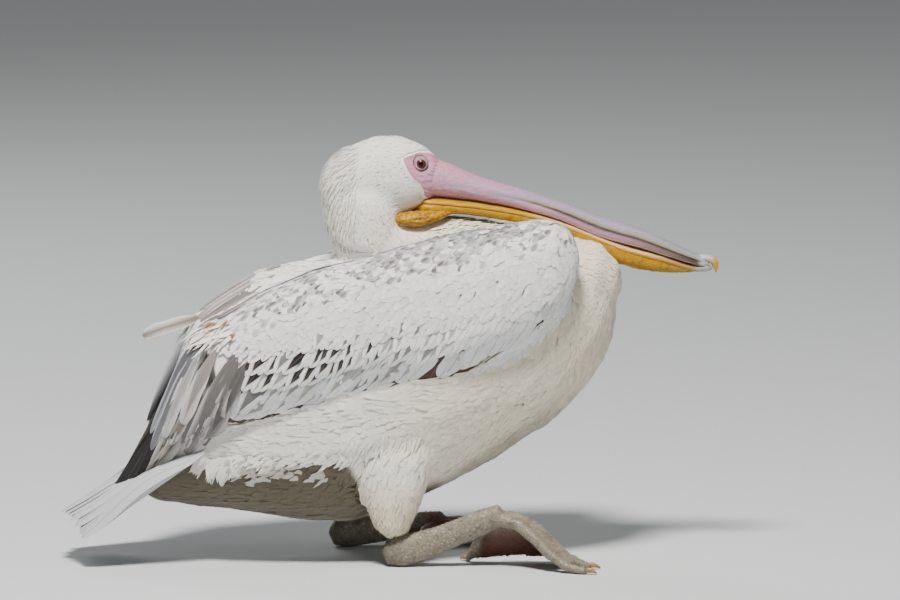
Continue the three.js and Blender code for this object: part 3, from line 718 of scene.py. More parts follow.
def spread(spacing_of_point):
    """Places all over the form, no two of them nearer than their spacing. They stand further
    apart along the lie than across it. Also gives their families and lies."""
    density, longer, narrower = 6, 1.7, 0.6  # tries for each place, and the spacing's shape
    quads = np.empty(len(plumage_form.loops), int)
    plumage_form.loops.foreach_get("vertex_index", quads)
    a, b, c, d = (form_points[quads.reshape(-1, 4)[:, k]] for k in range(4))
    area = 0.5 * np.linalg.norm(np.cross(c - a, d - b), axis=1)
    spacing = spacing_of_point((a + c) / 2 / MM) * MM
    many = draw.poisson(density * area / spacing ** 2)
    pick = np.repeat(np.arange(len(many)), many)
    u, v = draw.random((2, len(pick), 1))
    spots = (a[pick] * (1 - u) + b[pick] * u) * (1 - v) + (d[pick] * (1 - u) + c[pick] * u) * v
    order = draw.permutation(len(spots))
    spots, gaps = spots[order], spacing[pick][order]
    kinds = nearest_family(spots)
    lies = lie_here(spots / MM, kinds)
    tree = KDTree(len(spots))
    for i, spot in enumerate(spots):
        tree.insert(spot, i)
    tree.balance()
    free = np.ones(len(spots), bool)
    kept = []
    for i, spot in enumerate(spots):
        if free[i]:
            kept.append(i)
            lx, ly, lz = lies[i]
            for place, other, _ in tree.find_range(spot, gaps[i] * longer):
                dx, dy, dz = place[0] - spot[0], place[1] - spot[1], place[2] - spot[2]
                along = dx * lx + dy * ly + dz * lz
                aside = dx * dx + dy * dy + dz * dz - along * along
                if (along / longer) ** 2 + aside / narrower ** 2 < gaps[i] ** 2:
                    free[other] = False
    return spots[kept], kinds[kept], lies[kept]


def comb(roots, lies, lengths, steps, surface=plumage_surface, let_go=0.006):
    """The line that each feather takes from its root over the surface, and which way is up."""
    lines = np.empty((len(roots), steps + 1, 3))
    ups = np.empty_like(lines)
    for i, root in enumerate(roots):
        spot, up, _, _ = surface.find_nearest(root)
        way = Vector(lies[i])
        way = (way - up * way.dot(up)).normalized()
        stride = lengths[i] / steps
        for j in range(steps + 1):
            lines[i, j] = spot
            ups[i, j] = up
            ahead = spot + way * stride
            found, normal, _, off = surface.find_nearest(ahead)
            if off > let_go or normal.dot(up) < 0.2:
                found, normal = ahead, up
            way = (found - spot).normalized()
            way = (way - normal * way.dot(normal)).normalized()
            spot, up = found, normal
    return lines, ups


def vane(rows, columns, arch, low, reach, point, fall):
    """One feather as a thin closed vane: across, along, height, and its triangles. Its half
    width is low at the base and full from reach on. It falls off towards the tip, later for a
    higher point and more bluntly for a lower fall."""
    bm = bmesh.new()
    bmesh.ops.create_grid(bm, x_segments=columns, y_segments=rows, size=1)
    for vert in bm.verts:
        across, along = vert.co.x, 1 - ((1 - vert.co.y) / 2) ** 1.6
        wide = 0.0
        if along > 0:
            wide = (low + (1 - low) * ramp(along, 0, reach)) * (1 - along ** point) ** fall
        vert.co = (across * wide, along, arch * (1 - across * across) * min(1, wide * 1.5))
    bmesh.ops.remove_doubles(bm, verts=bm.verts, dist=1e-5)
    bmesh.ops.recalc_face_normals(bm, faces=bm.faces)
    if sum(f.normal.z for f in bm.faces) < 0:
        bmesh.ops.reverse_faces(bm, faces=bm.faces)
    bmesh.ops.holes_fill(bm, edges=[e for e in bm.edges if e.is_boundary], sides=0)
    bmesh.ops.triangulate(bm, faces=bm.faces)
    bm.verts.index_update()
    shape = np.array([v.co for v in bm.verts])
    bm.normal_update()
    faces = np.array([[v.index for v in f.verts] for f in bm.faces])
    upper = np.array([f.normal.z > 0 for f in bm.faces])
    bm.free()
    return shape, faces, upper


bake_map = np.empty(len(skin_mesh.loops) * 2)
skin_mesh.uv_layers["OFBake"].uv.foreach_get("vector", bake_map)
first = np.empty(len(skin_mesh.polygons), int)
sides = np.empty(len(skin_mesh.polygons), int)
skin_mesh.polygons.foreach_get("loop_start", first)
skin_mesh.polygons.foreach_get("loop_total", sides)
bake_map = np.add.reduceat(bake_map.reshape(-1, 2), first, axis=0) / sides[:, None]
skin_surface = surface_of(skin_mesh)


def feathers(name, template, lines, ups, half, rise, tint, material, ragged, patch=0.003):
    """One piece of many vanes. half: half widths; rise: height over the form at root and tip;
    ragged: how uneven the edges are; patch: each vane's size on the bake map."""
    shape, faces, upper = template
    count, steps = len(lines), lines.shape[1] - 1
    along = shape[:, 1]
    low = np.minimum((along * steps).astype(int), steps - 1)
    share = (along * steps - low)[None, :, None]
    spot = lines[:, low] * (1 - share) + lines[:, low + 1] * share
    up = ups[:, low] * (1 - share) + ups[:, low + 1] * share
    way = lines[:, low + 1] - lines[:, low]
    side = np.cross(way, up)
    side /= np.linalg.norm(side, axis=2, keepdims=True) + 1e-12
    up = np.cross(side, way)
    up /= np.linalg.norm(up, axis=2, keepdims=True) + 1e-12
    across = shape[:, 0] + ragged * draw.normal(size=(count, len(shape))) * np.abs(shape[:, 0])
    height = rise[:, :1] + (rise[:, 1:] - rise[:, :1]) * along + shape[:, 2] * half[:, None]
    points = spot + side * (across * half[:, None])[..., None] + up * height[..., None]
    mesh = bpy.data.meshes.new(name)
    mesh.vertices.add(count * len(shape))
    mesh.vertices.foreach_set("co", points.ravel())
    corner = (faces[None] + (np.arange(count) * len(shape))[:, None, None]).reshape(-1, 3)
    mesh.loops.add(corner.size)
    mesh.loops.foreach_set("vertex_index", corner.ravel().astype(np.int32))
    mesh.polygons.add(len(corner))
    mesh.polygons.foreach_set("loop_start", np.arange(0, corner.size, 3, dtype=np.int32))
    mesh.update(calc_edges=True)
    sides = np.zeros((len(shape), len(shape)), int)  # which faces meet at each edge of one vane
    for face, top in zip(faces, upper):
        sides[face, np.roll(face, -1)] |= 1 + top
        sides[np.roll(face, -1), face] |= 1 + top
    ends = np.empty(len(mesh.edges) * 2, int)
    mesh.edges.foreach_get("vertices", ends)
    one, other = (ends % len(shape)).reshape(-1, 2).T
    mesh.attributes.new("sharp_edge", "BOOLEAN", "EDGE").data.foreach_set("value", sides[one, other] == 3)
    set_tint(mesh, tint(points / MM, shape[:, 0], along).reshape(-1, 3))
    on_vane = np.stack([shape[:, 0] * 0.5 + 0.5, along], axis=1)
    home = np.array([bake_map[skin_surface.find_nearest(line[0])[2]] for line in lines])
    size = patch if np.ndim(patch) else np.full(count, patch)
    spot = home[:, None] + (on_vane[None] - 0.5) * size[:, None, None]
    mesh.uv_layers.new(name="OFBake").uv.foreach_set("vector", spot.reshape(-1, 2)[corner.ravel()].ravel())
    mesh.uv_layers.new(name="vane").uv.foreach_set(
        "vector", np.tile(on_vane, (count, 1))[corner.ravel()].ravel())
    piece = shown(name, mesh, material)
    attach(piece, "root")
    return piece


# Feather: keratin barbs, matt with a soft sheen. The barbs run out from the shaft at a slant.
down_material, tree, shader = nodes_of("white feather", 0.72, Specular_IOR_Level=0.3,
                                       Sheen_Weight=0.2, Sheen_Roughness=0.5)
on_vane = add(tree, "ShaderNodeUVMap", uv_map="vane")
stretched = add(tree, "ShaderNodeMapping", {"Vector": on_vane.outputs["UV"]}, **{"3": (9.0, 2.2, 1.0)})
barbs = add(tree, "ShaderNodeTexNoise", {"Vector": stretched.outputs["Vector"]}, Scale=2.0, Detail=2.0)
grained(tree, shader, barbs.outputs["Fac"], (0.3, 0.7, 0.9, 1.04), barbs.outputs["Fac"],
        strength=0.3, distance=0.0006)


def spacing_here(p):
    """Spacing in millimetres, from where a point is on the bird."""
    x, y, z = p.T
    on_head = ramp(np.hypot(x, z - 466), 105, 80) * ramp(z, 405, 430)
    on_neck = np.maximum(ramp(z + 0.5 * x, 330, 400) * ramp(np.abs(y), 85, 60), ramp(x, 200, 240))
    body = 4.3 + (2.7 - 4.3) * on_neck
    return body + (1.8 - body) * on_head


WING_DROP = 18  # how much lower the left wing hangs at its front


def lowered(x, side):
    """How much lower the left wing hangs there, in millimetres."""
    return np.where(side > 0, WING_DROP * np.clip((x + 300) / 500, 0, 1), 0)


def all_of(*some):
    """Where all of those hold."""
    return np.logical_and.reduce(some)


roots, kinds, lie = spread(spacing_here)
at = roots / MM
at_x, at_y, at_z = at.T
aside = np.abs(at_y)
gap = spacing_here(at)
turn = draw.normal(0, 0.13, len(at))
lie = lie + np.stack([-lie[:, 2] * turn, draw.normal(0, 0.1, len(at)), lie[:, 0] * turn], 1)
keep = ~((inside(at_x, at_z, FACE) > -1.5) & (kinds == "head"))
# Between these two lines the wing's larger coverts grow instead.
row_top = np.interp(at_x, [-226, -181, -114, -53, 39, 84, 125, 160, 190],
                    [262, 264, 270, 278, 292, 302, 308, 310, 325])
row_end = np.interp(at_x, [-240, -215, -183, -144, -83, -15, 45, 95, 131, 162, 186, 200],
                    [186, 181, 179, 189, 206, 228, 229, 248, 269, 292, 316, 345])
keep &= ~all_of(kinds == "wing", at_z < row_top - lowered(at_x, at_y) + 14, at_z > row_end, aside > 40)


def shaded_base_tone(p, along):
    """A little deeper at each vane's base, as painted shade under the vanes that overlap it, and no two vanes quite
    alike.
    """
    return ((0.84 + 0.18 * along) * draw.normal(1, 0.03, (len(p), 1)))[..., None]


def soft_tint(p, _, along):
    """The plumage's colour."""
    return shaded_base_tone(p, along) * plumage_tint(p)


def thigh_tint(p, _, along):
    """Cream-white, warmer towards the heel."""
    return shaded_base_tone(p, along) * blend(np.broadcast_to(WHITE, p.shape), CREAM, ramp(p[..., 2], 130, 60))


# The wing's upper edge in the side view.
WING_TOP = [(-240, 290), (-207, 308), (-160, 337), (-100, 362), (-40, 379), (15, 395), (70, 408),
            (120, 417), (165, 424), (194, 423), (215, 400)]


def wing_tint(p, across, along):
    """Cool white, deeper at each vane's base as painted shade under the vanes that overlap it,
    with grey-brown speckles in the middle of many vanes near the wing's top.
    """
    x, y, z = p[:, -1].T
    below = np.interp(x, *np.array(WING_TOP).T) - z - np.where(y > 0, WING_DROP * (x + 300) / 500, 0)
    often = ramp(below, 50, 6) * (0.3 + 0.6 * ramp(x, -75, -20) * ramp(x, 215, 120)
                                  + 0.25 * ramp(x, -60, -110))
    dark = (draw.random(len(p)) < often) * draw.uniform(0.4, 1.0, len(p))
    spot = ridge_at(across, 0, 1.1) * ramp(along, 0.3, 0.65) * ramp(along, 1.1, 0.95)
    # Deeper towards each vane's base: painted shade under the overlapping vanes.
    tone = (0.74 + 0.28 * along) * draw.normal(1, 0.05, (len(p), 1))
    return blend(WING_WHITE * tone[..., None], SPECKLE, dark[:, None] * spot[None, :])


body_vane = vane(4, 2, 0.04, 0.35, 0.55, 5.28, 0.5)
for piece_name, family_names, reach, breadth, stand, uneven in TRACTS:
    some = np.isin(kinds, family_names) & keep
    length = gap[some] * reach * MM * draw.uniform(0.85, 1.2, some.sum())
    lines, ups = comb(roots[some], lie[some], length, 3)
    coat = coat_depth(at[some]) * MM
    clump = patches(at[some], 13.0) + 0.7 * patches(at[some], 6.0, 3.0)
    tip_rise = stand + uneven * (0.6 * draw.normal(size=some.sum()) + 1.4 * clump)
    rise = np.stack([-0.2 * coat, tip_rise * MM], 1)
    piece = feathers(piece_name, body_vane, lines, ups, gap[some] * breadth * MM, rise,
                     {"wing": wing_tint, "thigh": thigh_tint}.get(family_names[0], soft_tint),
                     down_material, 0.1)

# ---------------------------------------------------------------- wing coverts in rows
# The larger coverts of the folded wing: three rows of median coverts, white with dark wedges,
# and the row of greater coverts, over the dark secondaries. They grow from the arm in rows,
# and each row hides the bases of the next.
MEDIAN_HIGH = [(-214, 267), (-181, 264), (-150, 266), (-114, 270), (-83, 274), (-53, 278),
               (-16, 284), (39, 292), (84, 302), (118, 312)]
MEDIAN_LOW = [(-206, 223), (-181, 220), (-156, 222), (-120, 226), (-83, 238), (-53, 248),
              (-16, 254), (39, 259), (70, 266), (100, 277), (131, 293), (150, 306)]
GREATER = [(-206, 181), (-183, 179), (-144, 189), (-115, 196), (-83, 206), (-52, 213),
           (-15, 228), (20, 229), (45, 229), (70, 238), (95, 248), (131, 269), (162, 292),
           (186, 316)]
WING_LIE = [(-230, 220, -0.62, -0.78), (-150, 200, -0.66, -0.75), (-50, 220, -0.62, -0.78),
            (50, 250, -0.5, -0.86), (120, 290, -0.45, -0.9), (180, 330, -0.4, -0.92),
            (-200, 290, -0.62, -0.78), (-60, 290, -0.45, -0.9), (90, 330, -0.35, -0.94)]


# The plumage's form, wing tips and tail, as one surface to lay feathers on.
tips_and_tail = bpy.data.meshes.new("tips and tail")
merged(["wing_tip_right", "wing_tip_left", "tail"]).to_mesh(tips_and_tail)
whole_surface = surface_of(plumage_form, tips_and_tail)


def from_side(spots, sign):
    """Places in the side view (millimetres) put on the outer face of the bird's right (-1) or
    left (1) side, in metres. The left wing hangs lower at its front."""
    found = []
    for x, z in spots:
        z -= float(lowered(x, sign))
        hit = whole_surface.ray_cast((x * MM, sign * 0.4, z * MM), (0, -sign, 0))[0]
        found.append(hit or whole_surface.find_nearest((x * MM, sign * 0.06, z * MM))[0])
    return np.array(found)


def joined(parts):
    """Several lots of rows as one array for each column."""
    return [np.concatenate(column) for column in zip(*parts)]


def along_line(line, step):
    """Places at even steps along a line of points."""
    line = np.array(line, float)
    run = np.r_[0, np.cumsum(np.hypot(*np.diff(line, axis=0).T))]
    stops = np.arange(step / 2, run[-1], step)
    return np.stack([np.interp(stops, run, line[:, k]) for k in (0, 1)], 1)


def lay_row(tips, lengths):
    """Roots and lies of a row of feathers whose tips end at those places."""
    way = smoothly(WING_LIE, np.insert(tips, 1, 0, axis=1))
    way /= np.linalg.norm(way, axis=1, keepdims=True)
    angle = draw.normal(0, 0.09, len(tips))
    way = np.stack([way[:, 0] * np.cos(angle) - way[:, 1] * np.sin(angle),
                    way[:, 0] * np.sin(angle) + way[:, 1] * np.cos(angle)], 1)
    return tips - way * lengths[:, None], way


# Vane: smooth keratin barbs on a pale shaft, a little glossier than the small feathers. A dark
# wedge runs down the middle where the feather is marked.
vane_material, tree, shader = nodes_of("vaned feather", 0.6, Specular_IOR_Level=0.35,
                                       Sheen_Weight=0.15, Sheen_Roughness=0.4)
colour = add(tree, "ShaderNodeVertexColor", layer_name="tint")
mark = add(tree, "ShaderNodeAttribute", attribute_name="mark")
on_vane = add(tree, "ShaderNodeUVMap", uv_map="vane")
split = add(tree, "ShaderNodeSeparateXYZ", {"Vector": on_vane.outputs["UV"]})
off_middle = add(tree, "ShaderNodeMath", {0: split.outputs["X"]}, operation="SUBTRACT", **{"1": 0.5})
off_middle = add(tree, "ShaderNodeMath", {0: off_middle.outputs[0]}, operation="ABSOLUTE")
slant = add(tree, "ShaderNodeMath", {0: off_middle.outputs[0], 2: split.outputs["Y"]},
            operation="MULTIPLY_ADD", **{"1": -0.35})
barb_line = add(tree, "ShaderNodeCombineXYZ", {"X": slant.outputs[0], "Y": mark.outputs["Fac"]})
barbs = add(tree, "ShaderNodeTexNoise", {"Vector": barb_line.outputs[0]}, Scale=55.0, Detail=3.0)
shade = add(tree, "ShaderNodeMapRange", {"Value": barbs.outputs["Fac"]},
            **{"1": 0.3, "2": 0.7, "3": 0.86, "4": 1.05})
tinted = add(tree, "ShaderNodeVectorMath", {0: colour.outputs["Color"], 1: shade.outputs["Result"]},
             operation="MULTIPLY")
wedge = add(tree, "ShaderNodeMath", {0: off_middle.outputs[0], 2: split.outputs["Y"]},
            operation="MULTIPLY_ADD", **{"1": 1.3})
wedge = add(tree, "ShaderNodeMapRange", {"Value": wedge.outputs[0]}, interpolation_type="SMOOTHSTEP",
            **{"1": 0.82, "2": 0.97, "3": 1.0, "4": 0.0})
marked = add(tree, "ShaderNodeMath", {0: wedge.outputs["Result"], 1: mark.outputs["Fac"]},
             operation="MULTIPLY")
dark = add(tree, "ShaderNodeMix", {"Factor": marked.outputs[0], 6: tinted.outputs["Vector"]}, data_type="RGBA")
dark.inputs[7].default_value = (*linear("#1d1613"), 1)
shaft = add(tree, "ShaderNodeMapRange", {"Value": off_middle.outputs[0]},
            **{"1": 0.012, "2": 0.03, "3": 0.55, "4": 0.0})
lined = add(tree, "ShaderNodeMix", {"Factor": shaft.outputs["Result"], 6: dark.outputs[2]},
            [(2, shader.inputs["Base Color"])], data_type="RGBA")
lined.inputs[7].default_value = (*linear("#6f6459"), 1)
add(tree, "ShaderNodeBump", {"Height": barbs.outputs["Fac"]},
    [("Normal", shader.inputs["Normal"])], Strength=0.4, Distance=0.0008)

covert_vane = vane(8, 4, 0.06, 0.4, 0.55, 4, 0.62)
long_vane = vane(12, 4, 0.07, 0.45, 0.5, 9, 0.5)


def set_mark(piece, marks):
    """How strongly each feather's dark wedge shows."""
    layer = piece.data.attributes.new("mark", "FLOAT", "POINT")
    layer.data.foreach_set("value", np.repeat(marks, len(layer.data) // len(marks)))


def each(colours, points, mixed, across=None, edges=0.0):
    """One colour a feather, given to all its points. mixed is the colour's lightness spread,
    edges how much paler its edges are."""
    tone = draw.normal(1, mixed, (len(colours), 1))
    even = np.repeat((colours * tone)[:, None], points.shape[1], axis=1)
    return blend(even, WING_WHITE, edges * ramp(np.abs(across), 0.45, 1.0)[None]) if edges else even


def covert_row(name, line, step, length, half, rise, colour_of, mark_of, template, gap_from=0, gap_to=0):
    """One row on both wings. The tips stand at even steps along the line; none in the gap."""
    rows = []
    for sign in (-1, 1):
        tips = along_line(line, step)
        tips = tips + draw.normal(0, (1.2, 2.2), tips.shape)
        tips = tips[(tips[:, 0] <= gap_from) | (tips[:, 0] >= gap_to)]
        lengths = length * draw.uniform(0.9, 1.1, len(tips))
        spots, way = lay_row(tips, lengths)
        row = comb(from_side(spots, sign), np.insert(way, 1, 0, axis=1), lengths * MM, 7, whole_surface)
        rows.append((*row, tips, lengths))
    lines, ups, tips, lengths = joined(rows)
    heights = np.array(rise) * MM + draw.normal(0, 0.0003, (len(lines), 1))
    colours = colour_of(tips)
    piece = feathers(name, template, lines, ups, half * MM * draw.uniform(0.9, 1.1, len(lines)),
                     heights, lambda p, a, b: each(colours, p, 0.05), vane_material, 0.03,
                     0.22 * lengths * MM)
    set_mark(piece, mark_of(tips))


def dark_at_rear(tips):
    """Wedges are boldest at the wing's rear and fade out towards its front."""
    rear = ramp(tips[:, 0], 150, -120)
    strong = np.clip(draw.uniform(0.4, 1.5, len(tips)) * (0.2 + 0.9 * rear), 0, 1)
    return strong * (draw.random(len(tips)) < 0.25 + 0.7 * rear)


GREY_WHITE = linear("#d9d9dc")
SECONDARY_BROWN = linear("#4a382b")
middle = [((a[0] + b[0]) / 2, (a[1] + b[1]) / 2) for a, b in
          zip(along_line(MEDIAN_HIGH, 30), along_line(MEDIAN_LOW, 30))]
covert_row("wing_secondaries", [(x - 5, z - 9) for x, z in GREATER], 12, 120, 13, (-5, -2.2),
           lambda t: np.tile(SECONDARY_BROWN, (len(t), 1)), lambda t: 0 * t[:, 0], long_vane)
covert_row("wing_greater_coverts", GREATER, 13, 78, 12.5, (-4, -0.2),
           lambda t: blend(GREY_WHITE, WING_WHITE, draw.random(len(t))),
           lambda t: 0.8 * dark_at_rear(t), long_vane, 20, 52)
covert_row("wing_median_coverts_low", MEDIAN_LOW, 11.5, 54, 9.5, (-3, 0.4),
           lambda t: blend(WING_WHITE, GREY_WHITE, draw.random(len(t)) * 0.6), dark_at_rear, covert_vane)
covert_row("wing_median_coverts_middle", middle, 10.5, 46, 8.5, (-2.6, 0.6),
           lambda t: np.tile(WING_WHITE, (len(t), 1)), dark_at_rear, covert_vane)
covert_row("wing_median_coverts_high", MEDIAN_HIGH, 9.5, 38, 7.5, (-2.2, 0.7),
           lambda t: np.tile(WING_WHITE, (len(t), 1)), lambda t: 0.8 * dark_at_rear(t), covert_vane)

# ---------------------------------------------------------------- long feathers behind the wing
# Tertials and primaries: the long quills that close over the rump and point down to the tail.
# The tertials are grey with pale edges, the primaries nearly black.
TERTIALS = [  # root and tip in the side view, half width, colour
    ((-215, 300), (-300, 161), 8, "#7d8089"), ((-222, 290), (-312, 150), 7, "#63646a"),
    ((-226, 280), (-290, 162), 8.5, "#b3b2b3"), ((-214, 275), (-265, 180), 9.5, "#bdb6b0"),
    ((-182, 258), (-236, 152), 12, "#7a7775"), ((-190, 262), (-254, 142), 12, "#716e6c"),
    ((-192, 270), (-272, 134), 11, "#7f7b79"), ((-200, 225), (-228, 158), 10, "#918e8c"),
    ((-205, 230), (-244, 142), 10, "#8b8886"), ((-224, 225), (-286, 120), 9, "#a19e9c"),
    ((-232, 235), (-300, 122), 7, "#93877a"), ((-212, 215), (-264, 128), 10, "#9a9794"),
    ((-234, 212), (-298, 110), 8, "#7f7b79"), ((-240, 215), (-313, 104), 7, "#a09a94"),
    ((-246, 224), (-324, 98), 7, "#8d857b"), ((-243, 228), (-319, 116), 7, "#a9a5a1")]
PRIMARIES = [((-262, 230), (-357, 74), 5, "#211f1e"), ((-260, 226), (-351, 78), 5, "#262322"),
             ((-257, 221), (-345, 84), 5, "#2b2826"), ((-254, 215), (-337, 92), 5, "#35302d")]


def quills(name, table, lay, rise, step, marks, edges):
    """Both sides' long feathers. lay gives their roots, ways and lengths. Each row of the table
    stands a step higher or lower than the one before."""
    rows = []
    for sign in (-1, 1):
        roots, reach, away = lay([row[0] for row in table], [row[1] for row in table], sign)
        rows.append((*comb(roots, reach, away, 10, whole_surface, 0.02), away,
                     [row[2] for row in table], [linear(row[3]) for row in table]))
    lines, ups, lengths, half, colours = joined(rows)
    order = np.arange(len(half))[:, None] % len(table)
    piece = feathers(name, long_vane, lines, ups, half * MM, (np.array(rise) + np.array(step) * order) * MM,
                     lambda p, a, b: each(colours, p, 0.04, a, edges), vane_material, 0.02, 0.2 * lengths)
    set_mark(piece, draw.uniform(0, marks, len(half)))
    return piece


def on_side(roots, tips, sign):
    """Feathers given in the side view and put on the bird's side."""
    reach = np.insert(np.subtract(tips, roots).astype(float), 1, 0, axis=1)
    return from_side(roots, sign), reach, np.linalg.norm(reach, axis=1) * MM


quills("primaries", PRIMARIES, on_side, (-2, 0.2), (-0.1, -0.07), 0.0, 0.0)
tertials = quills("tertials", TERTIALS, on_side, (0.5, 1.8), (-0.1, -0.07), 0.9, 0.5)
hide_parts("wing_tip_right", "wing_tip_left")

# ---------------------------------------------------------------- scapulars
# Long grey-beige feathers of the shoulders with dark shafts. They lie back over the dome of the
# back, white ones over grey ones, and end in round tips above the rump.
SCAPULARS = [  # root and tip in the plan (x, outwards from the middle), half width, colour
    ((-92, 2), (-236, 3), 13, "#918a87"), ((-100, 16), (-238, 17), 13, "#98918d"),
    ((-112, 34), (-232, 34), 12, "#86807d"), ((-122, 50), (-222, 50), 12, "#7d7774"),
    ((-130, 68), (-214, 66), 11, "#6a6461"), ((-70, 20), (-150, 22), 11, "#cfcecf"),
    ((-62, 44), (-150, 46), 11, "#e6e6e8"), ((-64, 64), (-160, 66), 11, "#ececee"),
    ((-40, 70), (-110, 62), 10, "#eceae8"), ((132, 68), (60, 62), 7, "#eeeeec"),
    ((98, 66), (26, 61), 7.5, "#f0f0ee"), ((64, 65), (-8, 60), 7.5, "#eeeeec"),
    ((30, 64), (-45, 60), 8, "#f0f0ee"), ((-4, 64), (-80, 60), 8, "#ececec")]
OVER_THE_BACK = 0.43  # height to look down from, under the head's crown


def on_back(roots, tips, sign):
    """Feathers given in the plan and put on the bird's back."""
    ends = [np.array([whole_surface.ray_cast((x * MM, sign * y * MM, OVER_THE_BACK), (0, 0, -1))[0]
                      for x, y in spots]) for spots in (roots, tips)]
    reach = ends[1] - ends[0]
    return ends[0], reach, np.linalg.norm(reach, axis=1)


quills("scapulars", SCAPULARS, on_back, (-1.5, 0.8), (0.12, 0.12), 0.5, 0.6)

# ---------------------------------------------------------------- tail
# Twenty-two broad white quills of keratin in a low rounded fan that droops at its sides, painted grey partly as their
# own tone and partly as shade.
# They grow from the tail's root, the middle ones on top, and are frayed a little at their tips.
TAIL_QUILLS = 22
share = np.linspace(-1, 1, TAIL_QUILLS)
tail_tips = np.stack([-400 + 24 * share ** 2 + draw.normal(0, 3.5, TAIL_QUILLS), 68 * share,
                      60 - 22 * share ** 2], 1)
tail_roots = np.stack([np.full(TAIL_QUILLS, -228.0), 80 * share, 158 - 13 * share ** 2], 1)
steps = np.linspace(0, 1, 9)[None, :, None]
tail_lines = (tail_roots[:, None] * (1 - steps) + tail_tips[:, None] * steps) * MM
tail_lines[..., 2] += (0.003 + 0.011 * share[:, None] ** 2) * np.sin(np.pi * steps[..., 0]) ** 2
tail_ups = np.tile(np.array([-0.5, 0, 0.85]), (TAIL_QUILLS, 9, 1))
tail_ups[..., 1] += 0.6 * share[:, None]
stack = np.abs(share)
# The quills' grey: partly their own tone, partly painted shade.
tail = feathers("tail_quills", long_vane, tail_lines, tail_ups, np.full(TAIL_QUILLS, 13 * MM),
                np.stack([1.0 - 2 * stack, 0.7 - 1.4 * stack], 1) * MM,
                lambda p, a, b: each(np.tile(linear("#b9bcbe"), (TAIL_QUILLS, 1)), p, 0.03), vane_material,
                0.04, 0.03)
set_mark(tail, np.zeros(TAIL_QUILLS))
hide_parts("tail")

# ---------------------------------------------------------------- loose feathers
# Longer soft feathers that stand away from the coat: the shaggy nape, the ruff under the bill,
# the white flank plumes that fall over the wing's lower edge, the tufts of belly and rump, and
# the trousers of the thighs. They grow from the skin between the small feathers.
lock_vane = vane(6, 2, 0.05, 0.0, 0.3, 1, 0.7)


def tuft(name, combed, half, rise, tint, patch=0.003):
    """Loose vanes. rise: how far root and tip stand off, in millimetres."""
    lines, ups = combed
    count = len(lines)
    heights = np.tile(np.array(rise, float), (count, 1))
    heights[:, 1] *= draw.uniform(0.4, 1.5, count)
    piece = feathers(name, lock_vane, lines, ups, half * MM * draw.uniform(0.75, 1.25, count), heights * MM,
                     tint, down_material, 0.18, patch)


def from_roots(some, length, lie_of=None):
    """Lines that start at some of the coat's own roots."""
    ways = lie[some] if lie_of is None else np.tile(np.array(lie_of, float), (some.sum(), 1))
    ways = ways + draw.normal(0, 0.16, ways.shape)
    return comb(roots[some], ways, length * MM * draw.uniform(0.8, 1.2, some.sum()), 4)


def laid(spots, sign, way, scatter, length, uneven, steps=4, surface=plumage_surface):
    """Lines that start at places in the side view and all point about one way."""
    ways = np.tile(way, (len(spots), 1)) + draw.normal(0, scatter, (len(spots), 3))
    return comb(from_side(spots, sign), ways, length * MM * draw.uniform(*uneven, len(spots)), steps, surface)


def shifted(spots, each_spot, spread_by):
    """Several places scattered round each of those."""
    count = len(spots) * each_spot
    return np.repeat(np.array(spots, float), each_spot, axis=0) + draw.normal(0, spread_by, (count, 2))


def between(values, low, high):
    """Which of the values lie between two others."""
    return (values > low) & (values < high)


head_or_neck = np.isin(kinds, ["head", "neck_upper"])
nape = all_of(head_or_neck, at_x < -44 + 0.1 * (at_z - 440), between(at_z, 385, 506))
nape &= draw.random(len(at)) < 0.75
tuft("nape_locks", from_roots(nape, 15), 1.0, (-0.2, 3.4), soft_tint)

chin = all_of(head_or_neck, between(at_x, -50, 20), between(at_z, 395, 440))
chin &= draw.random(len(at)) < 0.3
tuft("throat_locks", from_roots(chin, 11), 1.0, (-0.2, 0.9), soft_tint)

ruff = all_of(kinds == "neck_upper", between(at_x, 42, 205), at_z > 345, between(aside, 6, 52))
ruff &= np.array([plumage_surface.find_nearest(root)[1].z for root in roots]) > 0.25
tuft("neck_ruff", from_roots(ruff, 17, (0.9, 0, 0.1)), 2.8, (0.0, 3.4), soft_tint)

breast = all_of(np.isin(kinds, ["neck_lower", "trunk"]), at_x > 20, draw.random(len(at)) < 0.35)
tuft("breast_plumes", from_roots(breast, 17), 2.4, (-0.4, 0.9), soft_tint)

# Flank plumes: three staggered rows along the wing's lower edge.
edge = along_line([(x, z - 14 - 9 * (x < -100) - 7 * (0 < x < 60)) for x, z in GREATER if -210 < x < 100], 4.6)
flank = [laid(np.concatenate([edge + draw.normal(0, (3, 4), edge.shape) - (0, drop) for drop in (0, 9, 18)]),
              sign, (-0.97, 0.0, -0.05), 0.14, 38, (0.75, 1.2), 5, whole_surface) for sign in (-1, 1)]
tuft("flank_plumes", joined(flank), 6.5, (-0.6, 1.6), soft_tint, 0.006)

# Pointed clumps on the rear flank and small pale tufts on the belly's olive stain and painted shade.
CLUMPS = [((-198, 140), (-212, 104)), ((-210, 144), (-228, 106)), ((-222, 148), (-246, 116)),
          ((-190, 140), (-198, 112))]
IN_A_CLUMP = 34
fluff = shifted([(x, 140 + 0.03 * x) for x in range(-184, -56, 9)], 7, 5)
belly = shifted([(-195, 122), (-180, 119), (-164, 125), (-148, 119), (-132, 126), (-118, 121), (-160, 111),
                 (-84, 116)], 9, 5)
clumps = []
for sign in (-1, 1):
    for start, end in CLUMPS:
        spots = np.array(start) + draw.normal(0, (6, 6), (IN_A_CLUMP, 2))
        ways = np.insert(np.array(end) + draw.normal(0, 3, (IN_A_CLUMP, 2)) - spots, 1, 0, axis=1)
        clumps.append(comb(from_side(spots, sign), ways, np.linalg.norm(ways, axis=1) * MM, 4))
    clumps.append(laid(fluff, sign, (-0.8, 0.0, -0.5), 0.15, 16, (0.7, 1.3)))
tuft("flank_clumps", joined(clumps), 3.8, (-0.3, 2.6), lambda p, a, b: np.broadcast_to(WHITE, p.shape), 0.004)
